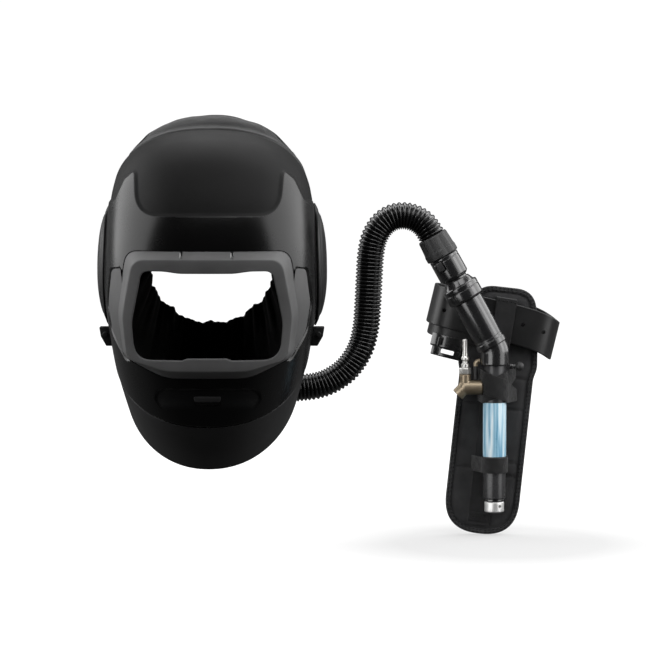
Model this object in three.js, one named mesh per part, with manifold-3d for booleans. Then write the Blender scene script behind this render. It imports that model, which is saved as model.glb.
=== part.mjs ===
// A welding helmet fed with air: a hard face shell with a flip-up lens frame, a fabric head cover and face seal,
// a corrugated breathing hose, and a tube-shaped air regulator strapped to a padded belt carrier.
// Millimetres, +Z up. The face looks along -Y and +X is the viewer's right. Heights inside the helmet are measured
// from the eye line through the lens opening. The finished group is lowered so that the crown seat is the origin.
import * as THREE from "three";
import { mergeVertices } from "three/addons/utils/BufferGeometryUtils.js";
import Module from "manifold-3d";

const wasm = await Module();
wasm.setup();

// Helmet sizes
const HELMET_WIDTH = 238; // over the face shell's base surface, at its widest
const HELMET_HEIGHT = 375; // from the chin edge to the crown rim
const FRONT_REACH = 140; // from the ear line forward to the lens opening
const SHELL_WALL = 2.6;
const RELIEF = 1.8; // how far the brow and cheeks stand above the crown panel
const SEAM_GAP = 0.9; // open joint between the face shell and the chin guard
const FIT_GAP = 0.4; // between pieces that touch
const SEAT = { y: 20, z: 194.7 }; // where the crown of the head meets the head cover

// Lens frame sizes
const LENS_WIDTH = 167; // clear opening at its widest
const LENS_HEIGHT = 98;
const LENS_DROP = 23; // the opening's middle lies below the eye line
const FRAME_FACE = 11.5; // width of the frame's flat face
const FRAME_SIDE = 20; // from the opening to the frame's outer edge
const FRAME_RISE = 1.5; // how much taller the frame is above the opening than beside it
const FRAME_PROUD = 13; // the face stands this far in front of the brow
const FRAME_CROWN = 16; // how far the face curves back at its ends
const FRAME_WALL = 2.5;
const FRAME_RETURN = 8; // depth of the wall inside the opening
const EAR_INSET = 5.5; // the ears stop this far inside the widest section
const EAR_WALL = 2.1;
const APERTURE_GAP = 0.8; // between the frame and the hole in the shell
const HINGE = { x: 28, ahead: 5.2, below: 8.2, lug: 5, lugRadius: 3.4, pin: 1.5, bore: 1.9, cheek: 2, gap: 0.5 };

// Soft parts of the helmet
const FABRIC = 1.8;
const SEAL_FABRIC = 1.6;
const SEAL_WIDTH = 142; // the face opening in the seal
const SEAL_DEPTH_Y = 4;
const SEAL_BOTTOM = -40;

// Side covers and clips
const COVER = { length: 96, height: 142, bulge: 11, wall: 2.4, y: 25, z: 26 };
const CLIP = { width: 12.4, height: 22, depth: 14, y: 1, below: 0 };

// Chin details
const RECESS = { width: 88, height: 28, top: -102, depth: 1.1 };
const TAB = { width: 26, height: 7, proud: 1.6, z: -113, slot: 3 };

// Hose and its inlet
const HOSE_DIAMETER = 32.4;
const HOSE_STEPS = 37;
const HOSE_SIDES = 10;
const INLET = { x: -46, y: 92, z: -56, spigot: 11.5, cuff: 18, cuffLength: 24, lean: 14 };
const DUCT = { height: 24, wall: 12, y: 92, z: -68 };

// Regulator sizes, along its leaning upper axis and then straight down
const REGULATOR_Y = 86;
const ELBOW_AT = { x: 330.2, z: -78 };
const LEAN = 29.1; // degrees between the upper axis and the vertical
const COLLAR = { from: 125.8, length: 27.6, top: 16.9, bottom: 19 };
const COUPLING = { from: 97.2, length: 28.2, radius: 17.8, neck: 13.8 };
const LATCH = { width: 9, thick: 4.5, height: 12, x: -9, gap: 2 };
const SOCKET = { from: 68.2, length: 18.5, radius: 21.7, shoulder: 7.5, depth: 4 };
const SILENCER = { from: 5.4, length: 62.5, radius: 17.9, ring: 1.2, ringLength: 6.8 };
const ELBOW = { radius: 17.2, bend: 19.2, straight: 12.9 };
const TUBE = { radius: 13.3, bottom: -254 };
const LABEL = { top: -139.8, bottom: -204.3, wall: 0.8 };
const END_RING = { radius: 12, height: 3 };
const PLUG = { radius: 11.6, height: 12.8, hole: 1.7 };
const KNOB = { radius: 5.4, reach: 29, z: -97.6, stem: 2.6 };

// Air supply fitting
const FITTING = { x: 295.2, z: -122.6, port: 5.8, bore: 4, leg: 15.4, branch: 7.2, branchLength: 12.4, branchLean: 45, feed: 7.4 };
const NUT = { radius: 7.2, height: 7.6 };
const NIPPLE = { length: 33.4, tip: 3, shoulder: 4.6, bore: 1.8 };
const SIDE_ELBOW = { radius: 3, bend: 4.4, z: -91.5 };

// Belt carrier
const PAD = { width: 88, height: 296, corner: 38, thick: 9, roll: 6.4, pitch: 5, x: 329.6, y: 114.4, z: -152 };
const BINDING = { width: 6, proud: 1 };
const WEB = { width: 26, thick: 1.6, shift: -2.6, hem: 4.2 };
const BELT = { width: 46.5, thick: 3.4, halfLength: 78, depth: 52, roll: 13.5, power: 8, x: 333, y: 108.2, z: -44.5, droop: 10 };
const BELT_HOLE = 2;
const LOOP = { width: 24.4, height: 57, thick: 1.6, x: 341.4, drop: 0.6 };
const STRAP = { thick: 1.8, gap: 0.5 };
const WRAP = { top: -101.8, bottom: -140.5, band: 27, cross: 36, reach: 23 };
const LOWER_STRAP = { top: -204.9, bottom: -223.4, left: 25, right: 14.4 };
const BUCKLE = { top: 33.4, height: 14.5, thick: 6, from: 0.516, to: 0.76, loop: 10.5, window: { width: 15, height: 6.6, x: -46.8 } };

const SIDES = 16; // sides of a round piece
const degrees = THREE.MathUtils.degToRad;
const V = (x, y, z) => new THREE.Vector3(x, y, z);

const finish = (color, roughness, metalness = 0) =>
  new THREE.MeshStandardMaterial({ color, roughness, metalness });
const MATERIALS = {
  shell: finish(0x1d1d1e, 0.38),
  matte: finish(0x242425, 0.62),
  frame: finish(0x3a3a3b, 0.5),
  gloss: finish(0x0f0f10, 0.2),
  rubber: finish(0x121213, 0.45),
  cloth: finish(0x2b2b2c, 0.95),
  webbing: finish(0x161617, 0.9),
  leather: finish(0x1b1b1c, 0.5),
  label: finish(0x7fb3cf, 0.35, 0.2),
  brass: finish(0x9c8468, 0.35, 0.9),
  steel: finish(0xc9cacb, 0.3, 0.9),
};

// Solids and geometries
function toSolid(geometry) {
  const bare = (geometry.index ? geometry : mergeVertices(geometry)).clone();
  for (const name of Object.keys(bare.attributes)) if (name !== "position") bare.deleteAttribute(name);
  const merged = mergeVertices(bare, 1e-4);
  return new wasm.Manifold(
    new wasm.Mesh({
      numProp: 3,
      vertProperties: new Float32Array(merged.attributes.position.array),
      triVerts: new Uint32Array(merged.index.array),
    }),
  );
}

function toGeometry(solid) {
  const mesh = solid.getMesh();
  const positions = new Float32Array(mesh.numVert * 3);
  for (let i = 0; i < mesh.numVert; i++) {
    positions.set(mesh.vertProperties.subarray(i * mesh.numProp, i * mesh.numProp + 3), i * 3);
  }
  return new THREE.BufferGeometry()
    .setAttribute("position", new THREE.BufferAttribute(positions, 3))
    .setIndex(new THREE.BufferAttribute(mesh.triVerts, 1));
}

const join = (...geometries) => toGeometry(geometries.map(toSolid).reduce((a, b) => a.add(b)));
const cut = (geometry, ...tools) => toGeometry(tools.map(toSolid).reduce((a, b) => a.subtract(b), toSolid(geometry)));
const lighter = (geometry, tolerance) => toGeometry(toSolid(geometry).simplify(tolerance));
const common = (a, b) => toGeometry(toSolid(a).intersect(toSolid(b)));

const helmet = new THREE.Group();
function piece(name, geometry, material, parent = helmet) {
  const mesh = new THREE.Mesh(geometry, material);
  mesh.name = name;
  parent.add(mesh);
  return mesh;
}

// A closed solid from a grid of points: two sheets, front and back, stitched round their edges.
function stitched(front, back, closedRow = false) {
  const rows = front.length;
  const columns = front[0].length;
  const positions = [];
  for (const sheet of [front, back]) for (const row of sheet) for (const p of row) positions.push(p.x, p.y, p.z);
  const at = (sheet, i, j) => (sheet * rows + i) * columns + (j % columns);
  const index = [];
  const quad = (a, b, c, d) => index.push(a, b, c, a, c, d);
  const spans = closedRow ? columns : columns - 1;
  for (let i = 0; i < rows - 1; i++) {
    for (let j = 0; j < spans; j++) {
      quad(at(0, i, j), at(0, i, j + 1), at(0, i + 1, j + 1), at(0, i + 1, j));
      quad(at(1, i, j), at(1, i + 1, j), at(1, i + 1, j + 1), at(1, i, j + 1));
    }
  }
  for (let j = 0; j < spans; j++) {
    quad(at(0, 0, j), at(1, 0, j), at(1, 0, j + 1), at(0, 0, j + 1));
    quad(at(0, rows - 1, j + 1), at(1, rows - 1, j + 1), at(1, rows - 1, j), at(0, rows - 1, j));
  }
  for (let i = 0; i < rows - 1 && !closedRow; i++) {
    quad(at(0, i + 1, 0), at(1, i + 1, 0), at(1, i, 0), at(0, i, 0));
    const j = columns - 1;
    quad(at(0, i, j), at(1, i, j), at(1, i + 1, j), at(0, i + 1, j));
  }
  const geometry = new THREE.BufferGeometry();
  geometry.setAttribute("position", new THREE.Float32BufferAttribute(positions, 3));
  geometry.setIndex(index);
  return facingOut(geometry);
}

// Turns the faces round if they point inwards.
function facingOut(geometry) {
  const p = geometry.attributes.position;
  const index = geometry.index.array;
  const [a, b, c] = [V(), V(), V()];
  let volume = 0;
  for (let i = 0; i < index.length; i += 3) {
    a.fromBufferAttribute(p, index[i]);
    b.fromBufferAttribute(p, index[i + 1]);
    c.fromBufferAttribute(p, index[i + 2]);
    volume += a.dot(b.cross(c));
  }
  if (volume < 0) for (let i = 0; i < index.length; i += 3) [index[i + 1], index[i + 2]] = [index[i + 2], index[i + 1]];
  return geometry;
}

// The normals of a grid of points. They point to the side that `outward` shows at the grid's first point.
function gridNormals(grid, closedRow, outward) {
  const rows = grid.length;
  const columns = grid[0].length;
  const normals = grid.map((row, i) =>
    row.map((_, j) => {
      const up = grid[Math.min(i + 1, rows - 1)][j].clone().sub(grid[Math.max(i - 1, 0)][j]);
      const after = closedRow ? (j + 1) % columns : Math.min(j + 1, columns - 1);
      const before = closedRow ? (j + columns - 1) % columns : Math.max(j - 1, 0);
      return grid[i][after].clone().sub(grid[i][before]).cross(up).normalize();
    }),
  );
  const middle = normals[rows >> 1][columns >> 1];
  if (middle.dot(outward) < 0) for (const row of normals) for (const n of row) n.negate();
  return normals;
}

const shifted = (grid, normals, by) =>
  grid.map((row, i) => row.map((p, j) => p.clone().addScaledVector(normals[i][j], typeof by === "function" ? by(i, j) : by)));

// A wall that follows a surface, from `inner` to `outer` away from it.
function wallOn(grid, outward, inner, outer, closedRow = false) {
  const normals = gridNormals(grid, closedRow, outward);
  return stitched(shifted(grid, normals, outer), shifted(grid, normals, inner), closedRow);
}

// The same grid with one more row or column of points beyond each edge.
function widened(grid, by) {
  const beyond = (edge, next) => edge.clone().addScaledVector(edge.clone().sub(next).normalize(), by);
  const rows = grid.map((row) => [beyond(row[0], row[1]), ...row, beyond(row.at(-1), row.at(-2))]);
  const first = rows[0].map((p, j) => beyond(p, rows[1][j]));
  const last = rows.at(-1).map((p, j) => beyond(p, rows.at(-2)[j]));
  return [first, ...rows, last];
}

const gridOf = (surface, columns, rows, [u0, u1] = [0, 1], [v0, v1] = [0, 1]) =>
  Array.from({ length: rows + 1 }, (_, i) =>
    Array.from({ length: columns + 1 }, (_, j) =>
      surface(THREE.MathUtils.lerp(u0, u1, j / columns), THREE.MathUtils.lerp(v0, v1, i / rows)),
    ),
  );

// A turned piece about +Z from a closed profile of [radius, height] pairs.
function turned(profile, sides = SIDES) {
  const points = [...profile, profile[0]].map(([r, z]) => new THREE.Vector2(r, z));
  return facingOut(mergedLathe(points, sides).rotateX(Math.PI / 2));
}

function mergedLathe(points, sides) {
  const lathe = new THREE.LatheGeometry(points, sides);
  lathe.deleteAttribute("normal");
  lathe.deleteAttribute("uv");
  const merged = mergeVertices(lathe, 1e-4);
  const old = merged.index.array;
  const kept = [];
  for (let i = 0; i < old.length; i += 3) {
    const [a, b, c] = [old[i], old[i + 1], old[i + 2]];
    if (a !== b && b !== c && a !== c) kept.push(a, b, c);
  }
  return merged.setIndex(kept);
}

const rod = (radius, length, sides = SIDES) => turned([[0, 0], [radius, 0], [radius, length], [0, length]], sides);

// A closed outline with round corners, from corner points [x, z, radius].
function rounded(corners, steps = 5) {
  return corners.flatMap(([x, z, radius], i) => {
    const here = new THREE.Vector2(x, z);
    const before = corners[(i + corners.length - 1) % corners.length];
    const after = corners[(i + 1) % corners.length];
    const toBefore = new THREE.Vector2(before[0], before[1]).sub(here);
    const toAfter = new THREE.Vector2(after[0], after[1]).sub(here);
    if (!radius) return [here];
    const half = Math.acos(toBefore.clone().normalize().dot(toAfter.clone().normalize())) / 2;
    const reach = Math.min(radius / Math.tan(half), toBefore.length() * 0.48, toAfter.length() * 0.48);
    const start = here.clone().add(toBefore.setLength(reach));
    const end = here.clone().add(toAfter.setLength(reach));
    return new THREE.QuadraticBezierCurve(start, here, end).getPoints(steps);
  });
}

// An outline grown outwards by a distance, point by point.
function grown(outline, distance) {
  const clockwise = THREE.ShapeUtils.isClockWise(outline);
  return outline.map((p, i) => {
    const before = outline[(i + outline.length - 1) % outline.length];
    const after = outline[(i + 1) % outline.length];
    const along = after.clone().sub(before).normalize();
    const normal = clockwise ? new THREE.Vector2(-along.y, along.x) : new THREE.Vector2(along.y, -along.x);
    return p.clone().addScaledVector(normal, distance);
  });
}

// A prism along Y between two depths, with its outline in X and Z.
function prismY(outline, y0, y1) {
  const shape = new THREE.Shape(outline);
  const geometry = new THREE.ExtrudeGeometry(shape, { depth: y1 - y0, bevelEnabled: false });
  return geometry.rotateX(Math.PI / 2).translate(0, y1, 0);
}

// A prism along Z between two heights, with its outline in X and Y.
function prismZ(outline, z0, z1) {
  const geometry = new THREE.ExtrudeGeometry(new THREE.Shape(outline), { depth: z1 - z0, bevelEnabled: false });
  return geometry.translate(0, 0, z0);
}

const box = (x, y, z, cx, cy, cz) => new THREE.BoxGeometry(x, y, z).translate(cx, cy, cz);
const mirrored = (corners) => [...corners, ...corners.map(([x, z, r]) => [-x, z, r]).reverse()];

// The helmet's skin. Each row is a section that leans from its front point back to its two rear points.
// front and rear are shares of FRONT_REACH, heights are shares of HELMET_HEIGHT above the eye line,
// width is a share of half HELMET_WIDTH, and power is how square the section is.
const SKIN_ROWS = [
  { front: -0.2, frontHeight: 0.482, rear: 0.04, rearHeight: 0.268, width: 0.945, power: 2.35 },
  { front: -0.44, frontHeight: 0.449, rear: 0.02, rearHeight: 0.235, width: 0.968, power: 2.3 },
  { front: -0.655, frontHeight: 0.391, rear: 0.015, rearHeight: 0.203, width: 0.982, power: 2.3 },
  { front: -0.82, frontHeight: 0.314, rear: 0.03, rearHeight: 0.165, width: 0.99, power: 2.35 },
  { front: -0.92, frontHeight: 0.231, rear: 0.045, rearHeight: 0.128, width: 0.994, power: 2.45 },
  { front: -0.977, frontHeight: 0.133, rear: 0.07, rearHeight: 0.08, width: 0.998, power: 2.6 },
  { front: -1, frontHeight: 0, rear: 0.1, rearHeight: 0, width: 1, power: 2.7 },
  { front: -0.993, frontHeight: -0.133, rear: 0.13, rearHeight: -0.067, width: 0.99, power: 2.6 },
  { front: -0.957, frontHeight: -0.253, rear: 0.157, rearHeight: -0.112, width: 0.965, power: 2.45 },
  { front: -0.87, frontHeight: -0.392, rear: 0.186, rearHeight: -0.16, width: 0.933, power: 2.25 },
  { front: -0.79, frontHeight: -0.466, rear: 0.24, rearHeight: -0.208, width: 0.895, power: 2.15 },
  { front: -0.67, frontHeight: -0.528, rear: 0.3, rearHeight: -0.259, width: 0.85, power: 2.1 },
];
const SEAM_ROW = 9;
const LAST_ROW = SKIN_ROWS.length - 1;

// A row between the listed ones, on a smooth curve through them.
function rowAt(rows, v) {
  const last = rows.length - 1;
  const i = THREE.MathUtils.clamp(Math.floor(v), 0, last - 1);
  const t = v - i;
  const value = (k, key) => rows[THREE.MathUtils.clamp(k, 0, last)][key];
  const row = {};
  for (const key of Object.keys(rows[0])) {
    const [a, b, c, d] = [value(i - 1, key), value(i, key), value(i + 1, key), value(i + 2, key)];
    row[key] = b + 0.5 * t * (c - a + t * (2 * a - 5 * b + 4 * c - d + t * (3 * (b - c) + d - a)));
  }
  return row;
}

// A point of a skin: turn runs from -1 at one rear edge, through 0 at the front, to 1 at the other.
function skinPoint(rows, turn, v) {
  const row = rowAt(rows, v);
  const angle = (turn * Math.PI) / 2;
  const out = Math.sign(turn) * Math.abs(Math.sin(angle)) ** (2 / row.power);
  const ahead = Math.max(Math.cos(angle), 0) ** (2 / row.power);
  return V(
    (out * row.width * HELMET_WIDTH) / 2,
    FRONT_REACH * (row.rear + (row.front - row.rear) * ahead),
    HELMET_HEIGHT * (row.rearHeight + (row.frontHeight - row.rearHeight) * ahead),
  );
}

// The skin's depth behind a point of the front view.
function skinDepth(x, z) {
  let [high, low] = [0, LAST_ROW];
  const heightAt = (v) => {
    const row = rowAt(SKIN_ROWS, v);
    const share = Math.min(Math.abs(x) / ((row.width * HELMET_WIDTH) / 2), 1);
    const ahead = (1 - share ** row.power) ** (1 / row.power);
    return {
      z: HELMET_HEIGHT * (row.rearHeight + (row.frontHeight - row.rearHeight) * ahead),
      y: FRONT_REACH * (row.rear + (row.front - row.rear) * ahead),
    };
  };
  for (let i = 0; i < 24; i++) {
    const middle = (high + low) / 2;
    if (heightAt(middle).z > z) high = middle;
    else low = middle;
  }
  return heightAt(high).y;
}

// Evenly spread turns: the power curve bunches its points, so the turn is eased.
const easedTurn = (u) => {
  const t = 2 * u - 1;
  return Math.sign(t) * Math.abs(t) ** 1.12;
};
const skinGrid = (columns, rows, v0, v1) =>
  gridOf((u, v) => skinPoint(SKIN_ROWS, easedTurn(u), v), columns, rows, [0, 1], [v0, v1]);
const FORWARD = V(0, -1, 0);

// Outlines in the front view
const lensTop = -LENS_DROP + LENS_HEIGHT / 2;
const lensBottom = -LENS_DROP - LENS_HEIGHT / 2;
const lensSide = LENS_WIDTH / 2;
const lensOutline = rounded(
  mirrored([
    [lensSide * 0.86, lensTop, 10],
    [lensSide, lensTop - LENS_HEIGHT * 0.58, 50],
    [lensSide * 0.96, lensBottom, 34],
  ]),
  6,
);
const frameOutline = (margin, rise) =>
  rounded(
    mirrored([
      [lensSide * 0.86 + margin * 0.95, lensTop + rise, 17],
      [lensSide + margin * 0.95, lensTop - LENS_HEIGHT * 0.5, 60],
      [lensSide * 0.96 + margin * 0.78, lensBottom + margin * 0.05, 15],
      [lensSide * 0.55, lensBottom - margin * 1.05, 60],
    ]),
    5,
  );
const faceOutline = frameOutline(FRAME_FACE, FRAME_FACE + 1);
const edgeOutline = frameOutline(FRAME_SIDE, FRAME_SIDE + FRAME_RISE);

// The distance from a centre to an outline, along a direction.
function reachOf(outline, centre, angle) {
  const direction = new THREE.Vector2(Math.cos(angle), Math.sin(angle));
  let best = 0;
  outline.forEach((a, i) => {
    const b = outline[(i + 1) % outline.length];
    const edge = b.clone().sub(a);
    const offset = a.clone().sub(centre);
    const crossing = direction.cross(edge);
    if (Math.abs(crossing) < 1e-9) return;
    const t = offset.cross(edge) / crossing;
    const s = offset.cross(direction) / crossing;
    if (t > 0 && s >= -1e-9 && s <= 1 + 1e-9) best = Math.max(best, t);
  });
  return best;
}

// Face shell: a thick skin, with the crown panel, ear pockets and chin recess cut back to the base surface.
const crownEdge = HELMET_HEIGHT * 0.23;
const peak = { x: HELMET_WIDTH * 0.395, z: HELMET_HEIGHT * 0.366 };
function crownPanelOutline() {
  const far = HELMET_WIDTH;
  return rounded(
    [
      [-far, HELMET_HEIGHT, 0],
      [-far, crownEdge + 12, 0],
      [-peak.x - 20, crownEdge + 14, 8],
      [-peak.x - 8, peak.z - 10, 10],
      [-peak.x + 6, peak.z + 2, 8],
      [-peak.x + 10, crownEdge + 1, 34],
      [peak.x - 10, crownEdge + 1, 34],
      [peak.x - 6, peak.z + 2, 8],
      [peak.x + 8, peak.z - 10, 10],
      [peak.x + 20, crownEdge + 14, 8],
      [far, crownEdge + 12, 0],
      [far, HELMET_HEIGHT, 0],
    ],
    4,
  );
}
const earSide = HELMET_WIDTH / 2 - EAR_INSET;
const earOutline = (side) =>
  rounded([
    [side * (lensSide + FRAME_SIDE - 6), lensTop + 1, 2],
    [side * (earSide - 5), lensTop, 8],
    [side * earSide, lensTop - LENS_HEIGHT * 0.4, 40],
    [side * (earSide - 5), lensTop - LENS_HEIGHT * 0.72, 40],
    [side * (lensSide + 6), lensBottom - 5, 8],
    [side * (lensSide - 4), lensBottom + 6, 4],
    [side * (lensSide + 6), lensTop - LENS_HEIGHT * 0.6, 30],
  ]);
const recessOutline = rounded(
  mirrored([
    [RECESS.width * 0.44, RECESS.top, 8],
    [RECESS.width * 0.5, RECESS.top - RECESS.height * 0.5, 8],
    [RECESS.width * 0.38, RECESS.top - RECESS.height, 10],
  ]),
  3,
);
const FRONT_FAR = -FRONT_REACH * 1.6;
const FRONT_NEAR = -FRONT_REACH * 0.3;
const hingeAxis = {
  y: skinDepth(HINGE.x, lensTop + FRAME_SIDE + FRAME_RISE) - RELIEF - HINGE.ahead,
  z: lensTop + FRAME_SIDE + FRAME_RISE - HINGE.below,
};

function hingeLug(side) {
  const eye = rod(HINGE.lugRadius, HINGE.lug, 10)
    .rotateY(Math.PI / 2)
    .translate(side * HINGE.x - HINGE.lug / 2, hingeAxis.y, hingeAxis.z);
  const back = skinDepth(HINGE.x, hingeAxis.z + HINGE.below + 4) + 1;
  const arm = box(
    HINGE.lug,
    back - hingeAxis.y,
    HINGE.lugRadius * 1.2,
    side * HINGE.x,
    (back + hingeAxis.y) / 2,
    hingeAxis.z + HINGE.lugRadius * 0.4,
  );
  const foot = box(HINGE.lug, SHELL_WALL, HINGE.below + 6, side * HINGE.x, back - 0.4, hingeAxis.z + HINGE.below / 2 + 3);
  const bore = rod(HINGE.bore, HINGE.lug + 4, 10)
    .rotateY(Math.PI / 2)
    .translate(side * HINGE.x - HINGE.lug / 2 - 2, hingeAxis.y, hingeAxis.z);
  return cut(join(eye, arm, foot), bore);
}

function faceShell() {
  const grid = skinGrid(20, 12, 0, SEAM_ROW);
  const body = wallOn(grid, FORWARD, -SHELL_WALL, RELIEF);
  const wide = widened(grid, 4);
  const above = (depth) => wallOn(wide, FORWARD, depth, RELIEF + 8);
  const pocket = (outline, floor = 0) => common(above(floor), prismY(outline, FRONT_FAR, FRONT_REACH * 0.3));
  const aperture = prismY(grown(edgeOutline, APERTURE_GAP), FRONT_FAR, FRONT_NEAR);
  const slot = prismY(
    rounded([
      [-TAB.width * 0.42, TAB.z - TAB.height / 2, 0],
      [TAB.width * 0.42, TAB.z - TAB.height / 2, 0],
      [TAB.width * 0.34, TAB.z - TAB.height / 2 - TAB.slot, 2],
      [-TAB.width * 0.34, TAB.z - TAB.height / 2 - TAB.slot, 2],
    ]),
    FRONT_FAR,
    FRONT_NEAR,
  );
  const shaped = cut(
    body,
    pocket(crownPanelOutline()),
    pocket(grown(earOutline(1), 1)),
    pocket(grown(earOutline(-1), 1)),
    pocket(recessOutline, RELIEF - RECESS.depth),
    aperture,
    slot,
  );
  return join(lighter(shaped, 0.3), hingeLug(1), hingeLug(-1));
}
piece("outer_shell", faceShell(), MATERIALS.shell);

// Chin guard: carries the skin on below the seam.
const seamShare = SEAM_GAP / (HELMET_HEIGHT * (SKIN_ROWS[SEAM_ROW].frontHeight - SKIN_ROWS[SEAM_ROW + 1].frontHeight));
piece(
  "chin_guard",
  wallOn(skinGrid(20, 3, SEAM_ROW + seamShare, LAST_ROW), FORWARD, -SHELL_WALL, RELIEF * 0.6),
  MATERIALS.matte,
);

// Chin tab: a small raised lip over the slot in the chin recess.
function chinTab() {
  const y = skinDepth(0, TAB.z) - (RELIEF - RECESS.depth);
  const outline = rounded(mirrored([[TAB.width / 2, TAB.z + TAB.height / 2, 1.5], [TAB.width * 0.46, TAB.z - TAB.height / 2 + 0.5, 1.5]]), 3);
  return prismY(outline, y - TAB.proud - 1.2, y - 1.2);
}
piece("chin_tab", chinTab(), MATERIALS.matte);

// Lens frame: a bevelled ring with an ear on each side. It turns up about pins near its top edge.
function lensFrame() {
  const centre = new THREE.Vector2(0, -LENS_DROP);
  const columns = 40;
  const brow = skinDepth(0, lensTop + FRAME_SIDE);
  const face = (x) => brow - FRAME_PROUD + FRAME_CROWN * (x / lensSide) ** 2;
  const rings = [
    { outline: lensOutline, depth: (x) => face(x) + FRAME_RETURN },
    { outline: lensOutline, depth: (x) => face(x) + 1.2 },
    { outline: grown(lensOutline, 1.2), depth: face },
    { outline: faceOutline, depth: face },
    { outline: edgeOutline, depth: (x, z) => skinDepth(x, z) - 1.4 },
  ];
  const grid = rings.map(({ outline, depth }) =>
    Array.from({ length: columns }, (_, j) => {
      const angle = (2 * Math.PI * j) / columns;
      const reach = reachOf(outline, centre, angle);
      const x = centre.x + reach * Math.cos(angle);
      const z = centre.y + reach * Math.sin(angle);
      return V(x, depth(x, z), z);
    }),
  );
  const back = grid.map((row, i) =>
    row.map((p, j) => {
      const angle = (2 * Math.PI * j) / columns;
      const out = i < 2 ? FRAME_WALL : i === 2 ? FRAME_WALL - 1.2 : i === 3 ? -FRAME_WALL * 0.7 : -FRAME_WALL;
      const depth = i === 0 ? 0 : i < 4 ? FRAME_WALL : FRAME_WALL * 0.5;
      return V(p.x + out * Math.cos(angle), p.y + depth, p.z + out * Math.sin(angle));
    }),
  );
  const ring = stitched(grid, back, true);
  const sheet = wallOn(skinGrid(20, 6, 4.4, 8.6), FORWARD, 2 * FIT_GAP, 2 * FIT_GAP + EAR_WALL);
  const ear = (side) => common(sheet, prismY(earOutline(side), FRONT_FAR, FRONT_NEAR));
  const notch = (side) =>
    box(HINGE.lug + 2 * HINGE.gap, 30, 20, side * HINGE.x, hingeAxis.y + 15 - 4.2, hingeAxis.z + 4);
  const knuckle = (side, way) => {
    const x = side * HINGE.x + way * (HINGE.lug / 2 + HINGE.gap + HINGE.cheek / 2);
    const eye = rod(HINGE.lugRadius, HINGE.cheek, 8).rotateY(Math.PI / 2).translate(x - HINGE.cheek / 2, hingeAxis.y, hingeAxis.z);
    const web = box(HINGE.cheek, 6.5, 5, x, hingeAxis.y - 3.6, hingeAxis.z - 2);
    return join(eye, web);
  };
  const pin = (side) => {
    const length = HINGE.lug + 2 * (HINGE.gap + HINGE.cheek);
    return rod(HINGE.pin, length, 8).rotateY(Math.PI / 2).translate(side * HINGE.x - length / 2, hingeAxis.y, hingeAxis.z);
  };
  const open = cut(join(ring, ear(1), ear(-1)), notch(1), notch(-1));
  const hinges = [1, -1].flatMap((side) => [knuckle(side, 1), knuckle(side, -1), pin(side)]);
  return join(lighter(open, 0.25), ...hinges);
}
piece("lens_frame", lensFrame(), MATERIALS.frame);

// How far the shell reaches to the side at a height and depth. Behind its rear edge, the edge's own reach counts.
function sideReach(z, y = FRONT_REACH) {
  const across = (v) => {
    const row = rowAt(SKIN_ROWS, v);
    const ahead = THREE.MathUtils.clamp((y / FRONT_REACH - row.rear) / (row.front - row.rear), 0, 1);
    return {
      x: ((row.width * HELMET_WIDTH) / 2) * (1 - ahead ** row.power) ** (1 / row.power),
      z: HELMET_HEIGHT * (row.rearHeight + (row.frontHeight - row.rearHeight) * ahead),
    };
  };
  let [high, low] = [0, LAST_ROW];
  for (let i = 0; i < 20; i++) {
    const middle = (high + low) / 2;
    if (across(middle).z > z) high = middle;
    else low = middle;
  }
  return across(high).x + RELIEF;
}
// Side covers: domed ovals over the ears, seated on the shell's rear edges.
function sideCover(side, steps = 7) {
  const surface = (u, v) => {
    const [a, b] = [2 * u - 1, 2 * v - 1];
    const across = a * Math.sqrt(1 - (b * b) / 2);
    const up = b * Math.sqrt(1 - (a * a) / 2);
    const rim = Math.min(across * across + up * up, 1);
    const y = COVER.y + (across * COVER.length) / 2;
    const z = COVER.z + (up * COVER.height) / 2;
    const seat = sideReach(z) + 1.8 * FIT_GAP + COVER.wall;
    return V(side * (seat + (COVER.bulge - COVER.wall) * (1 - rim ** 1.3)), y, z);
  };
  return wallOn(gridOf(surface, steps, steps), V(side, 0, 0), -COVER.wall, 0);
}

// Side clips: small wedges on the shell's rear edges, below the covers.
const clipTop = COVER.z - COVER.height / 2 - CLIP.below;
function sideClip(side) {
  const bottom = clipTop - CLIP.height;
  const seat = (z) => sideReach(z, CLIP.y + CLIP.depth) + 1.5 * FIT_GAP;
  const top = seat(clipTop);
  const outline = rounded([
    [side * top, clipTop, 0],
    [side * (top + CLIP.width), clipTop, 1.5],
    [side * (top + CLIP.width * 0.85), clipTop - CLIP.height * 0.5, 3],
    [side * (top + CLIP.width * 0.35), bottom, 1.5],
    [side * seat(bottom), bottom, 0],
  ]);
  return prismY(outline, CLIP.y, CLIP.y + CLIP.depth);
}
for (const [side, word] of [[-1, "left"], [1, "right"]]) {
  piece("side_cover_" + word, sideCover(side), MATERIALS.matte);
  piece("side_clip_" + word, sideClip(side), MATERIALS.rubber);
}

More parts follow.
